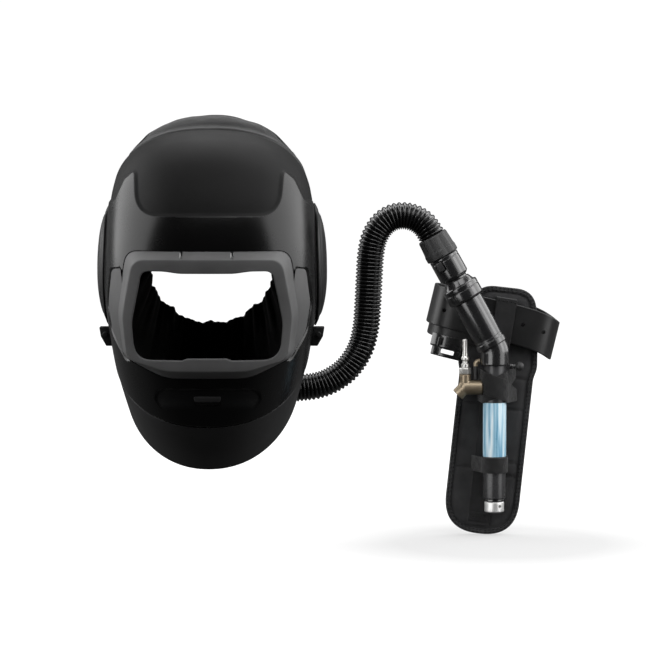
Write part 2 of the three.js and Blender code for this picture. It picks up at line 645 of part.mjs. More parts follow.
// Head cover: a fabric hood from under the crown rim to a hem at the back of the head.
const HOOD_ROWS = [
  { front: 0.06, frontHeight: 0.522, rear: 0.24, rearHeight: 0.225, width: 0.955, power: 2.2 },
  { front: 0.26, frontHeight: 0.524, rear: 0.34, rearHeight: 0.21, width: 0.975, power: 2.15 },
  { front: 0.5, frontHeight: 0.488, rear: 0.48, rearHeight: 0.185, width: 0.95, power: 2.1 },
  { front: 0.72, frontHeight: 0.408, rear: 0.58, rearHeight: 0.16, width: 0.88, power: 2.05 },
  { front: 0.85, frontHeight: 0.29, rear: 0.65, rearHeight: 0.135, width: 0.78, power: 2 },
  { front: 0.875, frontHeight: 0.19, rear: 0.68, rearHeight: 0.115, width: 0.69, power: 2 },
];
function hoodCurves(columns) {
  const grid = skinGrid(columns, 12, 0, 3);
  const inside = shifted(grid, gridNormals(grid, false, FORWARD), -SHELL_WALL - FIT_GAP - 1);
  const own = HOOD_ROWS.map((row) =>
    Array.from({ length: columns + 1 }, (_, j) => skinPoint([row, row], easedTurn(j / columns), 0)),
  );
  return [inside[4], inside[2], inside[0], ...own];
}
function hoodGrid(columns, rows) {
  const curves = hoodCurves(columns);
  return Array.from({ length: rows + 1 }, (_, i) =>
    curves[0].map((_, j) => new THREE.CatmullRomCurve3(curves.map((curve) => curve[j])).getPoint(i / rows)),
  );
}
piece("head_cover", wallOn(hoodGrid(16, 9), V(0, 0, 1), -FABRIC, 0), MATERIALS.cloth);

// Face seal: fabric from the shell's inside to a gathered edge round the face, open over the forehead.
function faceSeal() {
  const columns = 30;
  const rows = 3;
  const inside = (turn, v) => {
    const [near, next, lower] = [skinPoint(SKIN_ROWS, turn, v), skinPoint(SKIN_ROWS, turn + 0.01, v), skinPoint(SKIN_ROWS, turn, v + 0.02)];
    const normal = next.sub(near).cross(lower.sub(near)).normalize();
    if (normal.dot(V(near.x, -60, near.z)) > 0) normal.negate();
    return near.addScaledVector(normal, SHELL_WALL + FIT_GAP + SEAL_FABRIC / 2 + 0.4);
  };
  const rim = (a) => {
    const gather = 1.6 * Math.cos(a * columns * 1.1) + 1.1 * Math.cos(a * 17);
    const angle = a * Math.PI * 0.6;
    const half = SEAL_WIDTH / 2 - gather;
    return V(half * Math.sin(angle), SEAL_DEPTH_Y, SEAL_BOTTOM + SEAL_WIDTH * 0.465 * (1 - Math.cos(angle)) + gather);
  };
  const grid = Array.from({ length: rows + 1 }, (_, i) =>
    Array.from({ length: columns + 1 }, (_, j) => {
      const a = (2 * j) / columns - 1;
      const outer = inside(a * 0.82, 10.1 - 4.9 * Math.abs(a) ** 1.4);
      const t = i / rows;
      const p = outer.lerp(rim(a), t);
      p.y += 10 * Math.sin(Math.PI * t);
      return p;
    }),
  );
  return wallOn(grid, FORWARD, -SEAL_FABRIC / 2, SEAL_FABRIC / 2);
}
piece("face_seal", faceSeal(), MATERIALS.cloth);

// Air duct: a curved channel across the nape, from one rear edge of the shell to the other, with the hose spigot.
const inletDirection = V(Math.sin(degrees(INLET.lean)), 0, -Math.cos(degrees(INLET.lean)));
const spigotTop = V(INLET.x, INLET.y - DUCT.wall / 2, DUCT.z);
const spigotEnd = spigotTop.clone().addScaledVector(inletDirection, DUCT.height / 2 + 8 + INLET.cuffLength - 6);
const aimed = (geometry, from, direction) =>
  geometry.applyQuaternion(new THREE.Quaternion().setFromUnitVectors(V(0, 0, 1), direction)).translate(from.x, from.y, from.z);

function airDuct() {
  const rear = DUCT.y;
  const halfWidth = sideReach(DUCT.z - DUCT.height / 4) - RELIEF - SHELL_WALL - 2 * FIT_GAP;
  const ring = (half, depth) =>
    Array.from({ length: 25 }, (_, i) => {
      const angle = (Math.PI * i) / 24;
      return new THREE.Vector2(half * Math.cos(angle), 16 + depth * Math.sin(angle) ** 0.75);
    });
  const outline = [...ring(halfWidth, rear - 16), ...ring(halfWidth - DUCT.wall, rear - 16 - DUCT.wall).reverse()];
  const channel = prismZ(outline, DUCT.z - DUCT.height / 2, DUCT.z + DUCT.height / 2);
  const length = spigotEnd.distanceTo(spigotTop) - 1;
  const spigot = aimed(rod(INLET.spigot, length, 20), spigotTop, inletDirection);
  return join(channel, spigot);
}
piece("air_duct", airDuct(), MATERIALS.matte);

// Rubber cuff over the spigot
const cuffStart = spigotTop.clone().addScaledVector(inletDirection, DUCT.height / 2 + 5);
const cuffProfile = [
  [INLET.spigot + FIT_GAP, 0],
  [INLET.cuff - 1.5, 0],
  [INLET.cuff, 2],
  [INLET.cuff, INLET.cuffLength - 2],
  [INLET.cuff - 1, INLET.cuffLength],
  [INLET.spigot + FIT_GAP, INLET.cuffLength],
];
piece("inlet_cuff", aimed(turned(cuffProfile), cuffStart, inletDirection), MATERIALS.rubber);

// Breathing hose: its route from the cuff, round behind the chin, up and over to the regulator's collar.
const collarStart = V(
  ELBOW_AT.x - Math.sin(degrees(LEAN)) * (COLLAR.from + COLLAR.length),
  REGULATOR_Y,
  ELBOW_AT.z + Math.cos(degrees(LEAN)) * (COLLAR.from + COLLAR.length),
);
const hoseStart = cuffStart.clone().addScaledVector(inletDirection, INLET.cuffLength + 0.3);
const ROUTE = [
  [-33, 86, -116],
  [-17, 86, -123.5],
  [4, 86, -126],
  [28, 86, -126],
  [54, 86, -125.5],
  [80, 86, -124.5],
  [105, 86, -122.5],
  [120, 86, -120.4],
  [136, 86, -114.8],
  [155.5, 86, -101],
  [171, 86, -78],
  [177.7, 86, -54],
  [180.5, 86, -22],
  [182, 86, 8],
  [184, 86, 36],
  [188, 86, 54],
  [196.5, 86, 68.4],
  [207, 86, 76.6],
  [220, 86, 79.8],
  [234, 86, 77.4],
  [245.5, 86, 70.4],
];
const upperAxis = V(Math.sin(degrees(LEAN)), 0, -Math.cos(degrees(LEAN)));
const hoseEnd = collarStart.clone().addScaledVector(upperAxis, -0.3);
const hoseCurve = new THREE.CatmullRomCurve3(
  [hoseStart, hoseStart.clone().addScaledVector(inletDirection, 6), ...ROUTE.map(([x, y, z]) => V(x, y, z)), hoseEnd.clone().addScaledVector(upperAxis, -5), hoseEnd],
  false,
  "centripetal",
);
const hoseSection = new THREE.Shape(
  Array.from({ length: HOSE_SIDES }, (_, i) => {
    const angle = (2 * Math.PI * i) / HOSE_SIDES;
    return new THREE.Vector2((HOSE_DIAMETER / 2) * Math.cos(angle), (HOSE_DIAMETER / 2) * Math.sin(angle));
  }),
);
piece(
  "breathing_hose",
  new THREE.ExtrudeGeometry(hoseSection, { steps: HOSE_STEPS, extrudePath: hoseCurve, curveSegments: 1 }),
  MATERIALS.rubber,
);

// Regulator: pieces along the leaning axis stand in a group whose origin is the elbow's corner, +Z up the axis.
const upper = new THREE.Group();
upper.position.set(ELBOW_AT.x, REGULATOR_Y, ELBOW_AT.z);
upper.rotation.y = -degrees(LEAN);
helmet.add(upper);

const collarGrips = 8;
function hoseCollar() {
  const from = COLLAR.from;
  const top = COLLAR.from + COLLAR.length;
  const rings = [
    [COLLAR.bottom, from],
    [COLLAR.bottom, from + COLLAR.length * 0.3],
    [COLLAR.bottom - 0.8, from + COLLAR.length * 0.34],
    [COLLAR.top, top - 2],
    [COLLAR.top - 1.6, top],
  ];
  return turned([[0, from], ...rings, [0, top]], collarGrips * 2);
}
piece("hose_collar", hoseCollar(), MATERIALS.matte, upper);

const couplingTop = COUPLING.from + COUPLING.length;
const latchY = -COUPLING.radius;
function couplingBody() {
  const { from, radius, neck } = COUPLING;
  const neckEnd = SOCKET.from + SOCKET.length - SOCKET.depth + FIT_GAP;
  const body = turned([
    [0, neckEnd],
    [neck, neckEnd],
    [neck, from - 1],
    [radius - 2.2, from],
    [radius, from + 2],
    [radius, couplingTop],
    [0, couplingTop],
  ]);
  const { width, thick, height, x, gap } = LATCH;
  const pocket = box(width + 2 * gap, thick + 2 * gap - 0.5, height + 2 * gap, x, latchY + gap + 0.4, couplingTop - height / 2 - gap);
  return cut(body, pocket);
}
piece("coupling_body", couplingBody(), MATERIALS.gloss, upper);
piece(
  "coupling_latch",
  box(LATCH.width, LATCH.thick, LATCH.height, LATCH.x, latchY + 2 * LATCH.gap - 0.2, couplingTop - LATCH.height / 2 - LATCH.gap - 0.2),
  MATERIALS.matte,
  upper,
);

function socketRing() {
  const { from, length, radius, shoulder, depth } = SOCKET;
  const bore = COUPLING.neck + FIT_GAP;
  const top = from + length;
  return turned([
    [bore, top + shoulder],
    [bore + 1.4, top + shoulder],
    [radius - 2.6, top],
    [radius - 0.6, top],
    [radius, top - 1],
    [radius, from + 2],
    [radius - 1.2, from],
    [0, from],
    [0, top - depth],
    [bore, top - depth],
  ]);
}
piece("socket_ring", socketRing(), MATERIALS.gloss, upper);

function silencerTube() {
  const { from, length, radius, ring, ringLength } = SILENCER;
  return turned([
    [0, from],
    [radius, from],
    [radius + ring, from + 1],
    [radius + ring, from + ringLength],
    [radius, from + ringLength + 0.5],
    [radius, from + length - 0.3],
    [0, from + length - 0.3],
  ]);
}
piece("silencer_tube", silencerTube(), MATERIALS.gloss, upper);

// Elbow between the leaning and the upright tube
const tangent = ELBOW.bend * Math.tan(degrees(LEAN / 2));
function elbow() {
  const start = V(-Math.sin(degrees(LEAN)) * (SILENCER.from - 0.4), 0, Math.cos(degrees(LEAN)) * (SILENCER.from - 0.4));
  const end = V(0, 0, -tangent - ELBOW.straight);
  const path = new THREE.CurvePath();
  path.add(new THREE.QuadraticBezierCurve3(start, V(0, 0, 0), V(0, 0, -tangent)));
  path.add(new THREE.LineCurve3(V(0, 0, -tangent), end));
  const section = new THREE.Shape(
    Array.from({ length: SIDES }, (_, i) => {
      const angle = (2 * Math.PI * i) / SIDES;
      return new THREE.Vector2(ELBOW.radius * Math.cos(angle), ELBOW.radius * Math.sin(angle));
    }),
  );
  return new THREE.ExtrudeGeometry(section, { steps: 7, extrudePath: path }).translate(ELBOW_AT.x, REGULATOR_Y, ELBOW_AT.z);
}
piece("elbow", elbow(), MATERIALS.gloss);

// Upright tube, its label sleeve, end ring and exhaust plug
const upright = new THREE.Group();
upright.position.set(ELBOW_AT.x, REGULATOR_Y, 0);
helmet.add(upright);
const tubeTop = ELBOW_AT.z - tangent - ELBOW.straight - 0.3;
const groove = LABEL.wall;
piece(
  "regulator_tube",
  turned([
    [0, TUBE.bottom],
    [TUBE.radius - 0.6, TUBE.bottom],
    [TUBE.radius, TUBE.bottom + 0.6],
    [TUBE.radius, LABEL.bottom],
    [TUBE.radius - groove, LABEL.bottom],
    [TUBE.radius - groove, LABEL.top],
    [TUBE.radius, LABEL.top],
    [TUBE.radius, tubeTop],
    [0, tubeTop],
  ]),
  MATERIALS.matte,
  upright,
);
const sleeveInside = TUBE.radius - groove + 0.3;
piece(
  "label_sleeve",
  turned([
    [sleeveInside, LABEL.bottom + 0.3],
    [TUBE.radius + 0.4, LABEL.bottom + 0.3],
    [TUBE.radius + 0.4, LABEL.top - 0.3],
    [sleeveInside, LABEL.top - 0.3],
  ]),
  MATERIALS.label,
  upright,
);
const ringTop = TUBE.bottom - 0.3;
piece("tube_end_ring", rod(END_RING.radius, END_RING.height).translate(0, 0, ringTop - END_RING.height), MATERIALS.gloss, upright);
const plugTop = ringTop - END_RING.height - 0.3;
function exhaustPlug() {
  const { radius, height, hole } = PLUG;
  const body = turned([
    [0, plugTop - height],
    [radius - 1, plugTop - height],
    [radius, plugTop - height + 1],
    [radius, plugTop - 0.8],
    [radius - 0.8, plugTop],
    [0, plugTop],
  ]);
  const holes = [50, 140, 230, 320].map((turn) =>
    rod(hole, radius, 8)
      .rotateX(Math.PI / 2)
      .rotateZ(degrees(turn - 20))
      .translate(0, 0, plugTop - height * 0.4)
      .translate(Math.sin(degrees(turn - 20)) * radius * 0.4, -Math.cos(degrees(turn - 20)) * radius * 0.4, 0),
  );
  return cut(body, ...holes);
}
piece("exhaust_plug", exhaustPlug(), MATERIALS.steel, upright);

// Flow valve: a stem on the elbow and the round knob that turns on it.
const stemStart = ELBOW.radius + 0.4;
const stemEnd = KNOB.reach - KNOB.radius * 0.85;
piece(
  "valve_stem",
  turned([
    [0, stemStart],
    [KNOB.stem + 0.8, stemStart],
    [KNOB.stem + 0.8, stemStart + 3],
    [KNOB.stem, stemStart + 3.6],
    [KNOB.stem, stemEnd],
    [0, stemEnd],
  ], 16)
    .rotateY(Math.PI / 2)
    .translate(0, 0, KNOB.z),
  MATERIALS.gloss,
  upright,
);
function flowKnob() {
  const ball = Array.from({ length: 8 }, (_, i) => {
    const angle = -Math.PI / 2 + 0.62 + ((Math.PI - 0.62) * i) / 7;
    return [i === 7 ? 0 : KNOB.radius * Math.cos(angle), KNOB.reach + KNOB.radius * Math.sin(angle)];
  });
  const seat = stemEnd + 0.3;
  return turned([[0, seat + 0.4], [ball[0][0], seat + 0.4], ...ball.slice(1)], 16).rotateY(Math.PI / 2).translate(0, 0, KNOB.z);
}
piece("flow_knob", flowKnob(), MATERIALS.rubber, upright);

// Air supply: a brass wye with a quick-connect nipple, and a side elbow that feeds the tube.
function wyeFitting() {
  const { port, leg, branch, branchLength, branchLean, feed: feedRadius } = FITTING;
  const turnedDown = (geometry) => geometry.rotateY(Math.PI + degrees(branchLean));
  const up = rod(port, leg, 12);
  const down = turnedDown(rod(branch, branchLength, 12));
  const feed = rod(feedRadius, ELBOW_AT.x - FITTING.x - TUBE.radius - 0.5, 12).rotateY(Math.PI / 2);
  const mouth = turnedDown(rod(FITTING.bore, 4, 12).translate(0, 0, branchLength - 3));
  const hub = new THREE.IcosahedronGeometry(feedRadius * 1.02, 1);
  return cut(join(up, down, feed, hub), mouth).translate(FITTING.x, REGULATOR_Y, FITTING.z);
}
piece("wye_fitting", wyeFitting(), MATERIALS.brass);
const nutBase = FITTING.z + FITTING.leg + 0.3;
piece("nipple_nut", rod(NUT.radius, NUT.height, 6).translate(FITTING.x, REGULATOR_Y, nutBase), MATERIALS.steel);
function airNipple() {
  const { length, tip, shoulder, bore } = NIPPLE;
  const base = nutBase + NUT.height + 0.3;
  return turned(
    [
      [0, base],
      [shoulder, base],
      [shoulder, base + 4],
      [tip, base + 5.5],
      [tip, base + 8],
      [shoulder, base + 9.5],
      [shoulder, base + 12],
      [tip + 0.5, base + 13.5],
      [tip, base + 20],
      [tip, base + length - 1],
      [tip - 0.8, base + length],
      [bore, base + length],
      [bore, base + length - 8],
      [0, base + length - 8],
    ],
    12,
  ).translate(FITTING.x, REGULATOR_Y, 0);
}
piece("air_nipple", airNipple(), MATERIALS.steel);
function sideElbow() {
  const { radius, bend, z } = SIDE_ELBOW;
  const right = ELBOW_AT.x - ELBOW.radius - 0.5;
  const left = right - bend - 0.4;
  const bottom = FITTING.z + FITTING.feed + 0.5;
  const path = new THREE.CurvePath();
  path.add(new THREE.LineCurve3(V(left, REGULATOR_Y, bottom), V(left, REGULATOR_Y, z - bend)));
  path.add(new THREE.QuadraticBezierCurve3(V(left, REGULATOR_Y, z - bend), V(left, REGULATOR_Y, z), V(left + bend, REGULATOR_Y, z)));
  path.add(new THREE.LineCurve3(V(left + bend, REGULATOR_Y, z), V(right, REGULATOR_Y, z)));
  const section = new THREE.Shape(
    Array.from({ length: 12 }, (_, i) => new THREE.Vector2(radius * Math.cos((Math.PI * i) / 6), radius * Math.sin((Math.PI * i) / 6))),
  );
  return new THREE.ExtrudeGeometry(section, { steps: 8, extrudePath: path });
}
piece("elbow_fitting", sideElbow(), MATERIALS.brass);

// Back pad: everything sewn to it stands in one leaning group, with the pad's front face at Y = 0.
const carrier = new THREE.Group();
carrier.position.set(PAD.x, PAD.y, PAD.z);
carrier.rotation.set(-degrees(PAD.pitch), degrees(PAD.roll), 0, "YXZ");
helmet.add(carrier);
const padFrontAt = (z) => PAD.y + (z - PAD.z) * Math.tan(degrees(PAD.pitch));
const padOutline = rounded(
  [
    [-PAD.width / 2, -PAD.height / 2, PAD.corner * 1.5],
    [PAD.width / 2, -PAD.height / 2, PAD.corner * 1.5],
    [PAD.width / 2, PAD.height * 0.14, 30],
    [PAD.width / 2 + 3.4, PAD.height * 0.185, 30],
    [PAD.width / 2 - 1, PAD.height * 0.34, 70],
    [PAD.width / 2 - 9, PAD.height / 2 - 1, PAD.corner * 2.4],
    [-PAD.width / 2 + 9, PAD.height / 2 - 1, PAD.corner * 2.4],
    [-PAD.width / 2 + 1, PAD.height * 0.34, 70],
    [-PAD.width / 2 - 3.4, PAD.height * 0.185, 30],
    [-PAD.width / 2, PAD.height * 0.14, 30],
  ],
  3,
);
const padInside = grown(padOutline, -BINDING.width);
piece("back_pad", prismY(padInside, 0, PAD.thick), MATERIALS.webbing, carrier);
piece(
  "pad_binding",
  cut(prismY(padOutline, -BINDING.proud, PAD.thick + BINDING.proud), prismY(grown(padInside, FIT_GAP), -20, PAD.thick + 20)),
  MATERIALS.webbing,
  carrier,
);
const webTop = PAD.height * 0.13;
const webBottom = -PAD.height / 2 + BINDING.width + WEB.hem;
const webFace = -FIT_GAP;
piece(
  "center_webbing",
  box(WEB.width, WEB.thick, webTop - webBottom, WEB.shift, webFace - WEB.thick / 2, (webTop + webBottom) / 2),
  MATERIALS.webbing,
  carrier,
);
piece(
  "pull_tab",
  box(WEB.width, WEB.thick, 10, WEB.shift, webFace - FIT_GAP - WEB.thick * 1.5, webBottom + 10),
  MATERIALS.webbing,
  carrier,
);

// Belt: one whole loop round the pad, with its punched holes. It droops towards the right-hand end.
const waist = new THREE.Group();
waist.position.set(BELT.x, BELT.y + BELT.depth, BELT.z);
waist.rotation.y = degrees(BELT.roll);
helmet.add(waist);
function beltPoint(angle, inset = 0) {
  const [c, s] = [Math.cos(angle), Math.sin(angle)];
  const x = (BELT.halfLength - inset) * Math.sign(c) * Math.abs(c) ** (2 / BELT.power);
  const y = -(BELT.depth - inset) * Math.sign(s) * Math.abs(s) ** (2 / 2.3);
  const droop = BELT.droop * Math.max(x / BELT.halfLength, 0) ** 4;
  return V(x, y, -droop);
}
function ribbon(line, width, thick, closed) {
  const count = line.length;
  const front = [[], []];
  const back = [[], []];
  line.forEach((p, i) => {
    const before = line[closed ? (i + count - 1) % count : Math.max(i - 1, 0)];
    const after = line[closed ? (i + 1) % count : Math.min(i + 1, count - 1)];
    const along = after.clone().sub(before).setZ(0).normalize();
    const out = V(along.y, -along.x, 0);
    [-1, 1].forEach((way, k) => {
      const edge = p.clone().add(V(0, 0, (way * width) / 2));
      front[k].push(edge.clone());
      back[k].push(edge.clone().addScaledVector(out, thick));
    });
  });
  return stitched(front, back, closed);
}
const beltLine = (steps, from, to, inset = 0) =>
  Array.from({ length: steps }, (_, i) => beltPoint(from + ((to - from) * i) / (steps - 1), inset));
function belt() {
  const steps = 37;
  const line = beltLine(steps, 0, 2 * Math.PI).slice(0, -1);
  const band = ribbon(line, BELT.width, BELT.thick, true);
  const holes = [
    [0.414, 2],
    [0.744, -1],
    [-0.4, -3.4],
    [-0.8, -3.4],
  ].map(([share, z]) => rod(BELT_HOLE, 40, 8).rotateX(-Math.PI / 2).translate(share * BELT.halfLength, -BELT.depth - 6, z));
  return cut(band, ...holes);
}
piece("belt", belt(), MATERIALS.leather, waist);
const innerInset = BELT.thick + 0.8;
const lowered = (geometry, by) => geometry.translate(0, 0, -by);
piece(
  "belt_inner_end",
  lowered(ribbon(beltLine(17, Math.PI * 0.62, Math.PI * 1.35, innerInset), BELT.width * 0.92, BELT.thick, false), 11.5),
  MATERIALS.leather,
  waist,
);
function beltBuckle() {
  const line = beltLine(9, Math.PI * BUCKLE.from, Math.PI * BUCKLE.to, innerInset);
  const body = lowered(ribbon(line, BUCKLE.height, BUCKLE.thick, false), BUCKLE.top + BUCKLE.height / 2);
  const loop = lowered(
    ribbon(line.slice(0, -1), BUCKLE.loop, BUCKLE.thick * 0.55, false),
    BUCKLE.top + BUCKLE.height + BUCKLE.loop / 2 - 0.5,
  );
  const { width, height } = BUCKLE.window;
  const window = box(width, 60, height, BUCKLE.window.x, -BELT.depth + 10, -BUCKLE.top - BUCKLE.height - height / 2 - 0.5);
  return cut(join(body, loop), window);
}
piece("belt_buckle", beltBuckle(), MATERIALS.gloss, waist);

// Belt loop: a cloth panel sewn to the pad above and below the belt.
function beltLoop() {
  const front = BELT.y - STRAP.gap - LOOP.thick;
  const panel = box(LOOP.width, LOOP.thick, LOOP.height, 0, front + LOOP.thick / 2, 0);
  const tongue = (way) => {
    const z = (way * (LOOP.height - LOOP.thick)) / 2;
    const reach = padFrontAt(loopGroup.position.z + z) - front - 2 * FIT_GAP;
    return box(LOOP.width, reach, LOOP.thick, 0, front + reach / 2, z);
  };
  return join(panel, tongue(1), tongue(-1));
}
const loopGroup = new THREE.Group();
loopGroup.position.set(LOOP.x, 0, BELT.z - LOOP.drop - (LOOP.x - BELT.x) * Math.tan(degrees(BELT.roll)));
loopGroup.rotation.y = degrees(BELT.roll * 0.7);
helmet.add(loopGroup);
piece("belt_loop", beltLoop(), MATERIALS.webbing, loopGroup);

// Straps: cloth bridges over the upright tube, down to the pad on both sides.
function bridge(left, right, seat) {
  const inside = TUBE.radius + STRAP.gap + 0.4;
  const arch = (radius, l, r) => {
    const points = [[-l, seat]];
    for (let i = 0; i <= 12; i++) {
      const angle = Math.PI - (Math.PI * i) / 12;
      points.push([radius * Math.cos(angle), -radius * Math.sin(angle) * 1.0]);
    }
    points.push([r, seat]);
    return points.map(([x, y]) => new THREE.Vector2(x, y));
  };
  return [...arch(inside + STRAP.thick, left + STRAP.thick, right + STRAP.thick), ...arch(inside, left, right).reverse()];
}
function wrapStrap() {
  const middle = (WRAP.top + WRAP.bottom) / 2;
  const seat = padFrontAt(middle) - REGULATOR_Y - 2.3;
  const block = prismZ(bridge(WRAP.reach - 1, WRAP.reach - 1, seat), WRAP.bottom, WRAP.top);
  const slab = (way) => box(5 * WRAP.reach, 4 * WRAP.reach, WRAP.band, 0, 0, 0).rotateY(degrees(way * WRAP.cross)).translate(0, 0, middle);
  const feedHole = rod(FITTING.feed + 0.6, 60, 12).rotateY(-Math.PI / 2).translate(0, 0, FITTING.z);
  return cut(common(block, join(slab(1), slab(-1))), feedHole);
}
piece("wrap_strap", wrapStrap(), MATERIALS.webbing, upright);
const strapSeat = padFrontAt((LOWER_STRAP.top + LOWER_STRAP.bottom) / 2) - REGULATOR_Y - 3.8;
piece(
  "lower_strap",
  prismZ(bridge(LOWER_STRAP.left, LOWER_STRAP.right, strapSeat), LOWER_STRAP.bottom, LOWER_STRAP.top),
  MATERIALS.webbing,
  upright,
);

const assembly = new THREE.Group();
helmet.position.set(0, -SEAT.y, -SEAT.z);
assembly.add(helmet);
export default assembly;
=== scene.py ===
import math

import bmesh
import bpy
import numpy as np
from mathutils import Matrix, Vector


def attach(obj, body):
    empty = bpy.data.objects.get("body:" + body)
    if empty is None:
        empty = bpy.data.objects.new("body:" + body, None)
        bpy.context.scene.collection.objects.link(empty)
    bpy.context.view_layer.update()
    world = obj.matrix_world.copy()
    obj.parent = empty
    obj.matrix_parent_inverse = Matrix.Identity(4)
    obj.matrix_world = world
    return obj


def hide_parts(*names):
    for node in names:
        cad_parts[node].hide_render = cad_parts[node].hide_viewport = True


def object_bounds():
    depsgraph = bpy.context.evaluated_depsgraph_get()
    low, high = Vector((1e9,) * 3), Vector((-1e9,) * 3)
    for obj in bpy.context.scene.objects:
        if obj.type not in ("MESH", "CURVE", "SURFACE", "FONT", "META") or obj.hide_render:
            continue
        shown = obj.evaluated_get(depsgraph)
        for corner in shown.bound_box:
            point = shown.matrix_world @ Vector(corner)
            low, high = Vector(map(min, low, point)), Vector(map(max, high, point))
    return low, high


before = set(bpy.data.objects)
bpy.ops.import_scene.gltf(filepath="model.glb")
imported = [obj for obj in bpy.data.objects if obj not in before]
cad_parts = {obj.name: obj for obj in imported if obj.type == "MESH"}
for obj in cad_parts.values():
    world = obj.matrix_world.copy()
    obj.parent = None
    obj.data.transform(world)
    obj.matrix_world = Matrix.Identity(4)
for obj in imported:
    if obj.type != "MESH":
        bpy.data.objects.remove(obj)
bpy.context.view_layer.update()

# Sizes are in millimetres, in helmet coordinates: the face looks along -Y, heights are measured from the eye
# line, and the row frame's origin, the crown seat, lies at (0, 20, 194.7).
ORIGIN = np.array([0.0, 20.0, 194.7])
BODY = "helmet_and_regulator"
WIDTH = 238.0
HEIGHT = 375.0
REACH = 140.0
SHELL_WALL = 2.6
RELIEF = 1.8
FIT = 0.4
LENS_W, LENS_H, LENS_DROP = 167.0, 98.0, 23.0
FRAME_FACE, FRAME_SIDE, FRAME_RISE = 11.5, 20.0, 1.5
FRAME_PROUD, FRAME_CROWN, FRAME_WALL, FRAME_RETURN = 13.0, 16.0, 2.5, 8.0
SEAM_ROW = 9
AHEAD = (0, -1, 0)
REGULATOR_X, REGULATOR_Y = 330.2, 86.0
PAD_Y, PAD_Z = 114.4, -152.0


# Meshes
def in_row(points):
    return (np.asarray(points, float).reshape(-1, 3) - ORIGIN) * 0.001


def in_scene(name, data):
    obj = bpy.data.objects.new(name, data)
    bpy.context.scene.collection.objects.link(obj)
    return obj


def raw(name, points, faces):
    """An object from points in millimetres, with its faces turned outwards."""
    mesh = bpy.data.meshes.new(name)
    mesh.from_pydata(in_row(points).tolist(), [], [list(map(int, f)) for f in faces])
    mesh.update()
    bm = bmesh.new()
    bm.from_mesh(mesh)
    bmesh.ops.recalc_face_normals(bm, faces=bm.faces)
    bm.to_mesh(mesh)
    bm.free()
    return in_scene(name, mesh)


def discard(obj):
    mesh = obj.data
    bpy.data.objects.remove(obj)
    bpy.data.meshes.remove(mesh)


def settle(obj):
    """Applies the object's modifiers to its mesh."""
    bpy.context.view_layer.update()
    graph = bpy.context.evaluated_depsgraph_get()
    mesh = bpy.data.meshes.new_from_object(obj.evaluated_get(graph))
    obj.modifiers.clear()
    old = obj.data
    obj.data = mesh
    mesh.name = obj.name
    bpy.data.meshes.remove(old)
    return obj


def combine(obj, other, operation="DIFFERENCE"):
    """A boolean with another closed mesh, or with its points and faces. The other mesh is then removed."""
    if isinstance(other, tuple):
        other = raw("tool", *other)
    modifier = obj.modifiers.new("combine", "BOOLEAN")
    modifier.operation = operation
    modifier.solver = "MANIFOLD"
    modifier.object = other
    settle(obj)
    discard(other)
    return obj


def joined(obj, *others):
    """Several meshes in one object."""
    bm = bmesh.new()
    for o in (obj, *others):
        bm.from_mesh(o.data)
    bm.to_mesh(obj.data)
    bm.free()
    for o in others:
        discard(o)
    return obj


def soften(obj, width, segments=2, angle=35):
    """Rounds the sharp edges, width in millimetres."""
    modifier = obj.modifiers.new("soften", "BEVEL")
    modifier.width = width * 0.001
    modifier.segments = segments
    modifier.limit_method = "ANGLE"
    modifier.angle_limit = math.radians(angle)
    modifier.use_clamp_overlap = True
    return settle(obj)


def smooth(obj, angle=35):
    """Smooth shading with the edges above an angle left sharp."""
    mesh = obj.data
    mesh.shade_smooth()
    bm = bmesh.new()
    bm.from_mesh(mesh)
    limit = math.radians(angle)
    for e in bm.edges:
        e.smooth = len(e.link_faces) != 2 or e.calc_face_angle(0) < limit
    bm.to_mesh(mesh)
    bm.free()
    return obj


dressed = []


def dress(obj, material, nodes=(), body=BODY, angle=35):
    dressed.append(obj)
    smooth(obj, angle)
    obj.data.materials.clear()
    obj.data.materials.append(material)
    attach(obj, body)
    if nodes:
        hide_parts(*([nodes] if isinstance(nodes, str) else nodes))
    return obj


def grid_quads(rows, columns, start=0, closed=False, flip=False):
    i = np.arange(rows - 1)[:, None]
    j = np.arange(columns if closed else columns - 1)[None, :]
    a = start + i * columns + j
    b = start + i * columns + (j + 1) % columns
    quads = np.stack([a, b, b + columns, a + columns], -1).reshape(-1, 4)
    return quads[:, ::-1] if flip else quads


def solid(front, back, closed=False):
    """Points and faces of a closed solid between two sheets."""
    rows, columns = front.shape[:2]
    n = rows * columns
    faces = [grid_quads(rows, columns, 0, closed), grid_quads(rows, columns, n, closed, True)]
    j = np.arange(columns if closed else columns - 1)
    k = (j + 1) % columns
    last = (rows - 1) * columns
    faces.append(np.stack([j, j + n, k + n, k], -1))
    faces.append(np.stack([last + k, last + k + n, last + j + n, last + j], -1))
    if not closed:
        i = np.arange(rows - 1) * columns
        e = columns - 1
        faces.append(np.stack([i + columns, i + columns + n, i + n, i], -1))
        faces.append(np.stack([i + e, i + e + n, i + columns + e + n, i + columns + e], -1))
    return np.concatenate([front.reshape(-1, 3), back.reshape(-1, 3)]), np.concatenate(faces)


def normals_of(grid, outward):
    n = np.cross(np.gradient(grid, axis=1), np.gradient(grid, axis=0))
    n /= np.linalg.norm(n, axis=2, keepdims=True) + 1e-12
    middle = n[grid.shape[0] // 2, grid.shape[1] // 2]
    return n if middle @ np.asarray(outward, float) > 0 else -n


def edge_distance(grid):
    """Each point's distance to the grid's edges, measured along its rows and columns."""

    def run(axis):
        step = np.linalg.norm(np.diff(grid, axis=axis), axis=2)
        zero = np.zeros_like(np.take(step, [0], axis))
        there = np.concatenate([zero, np.cumsum(step, axis)], axis)
        return np.minimum(there, np.take(there, [-1], axis) - there)

    return np.minimum(run(0), run(1))


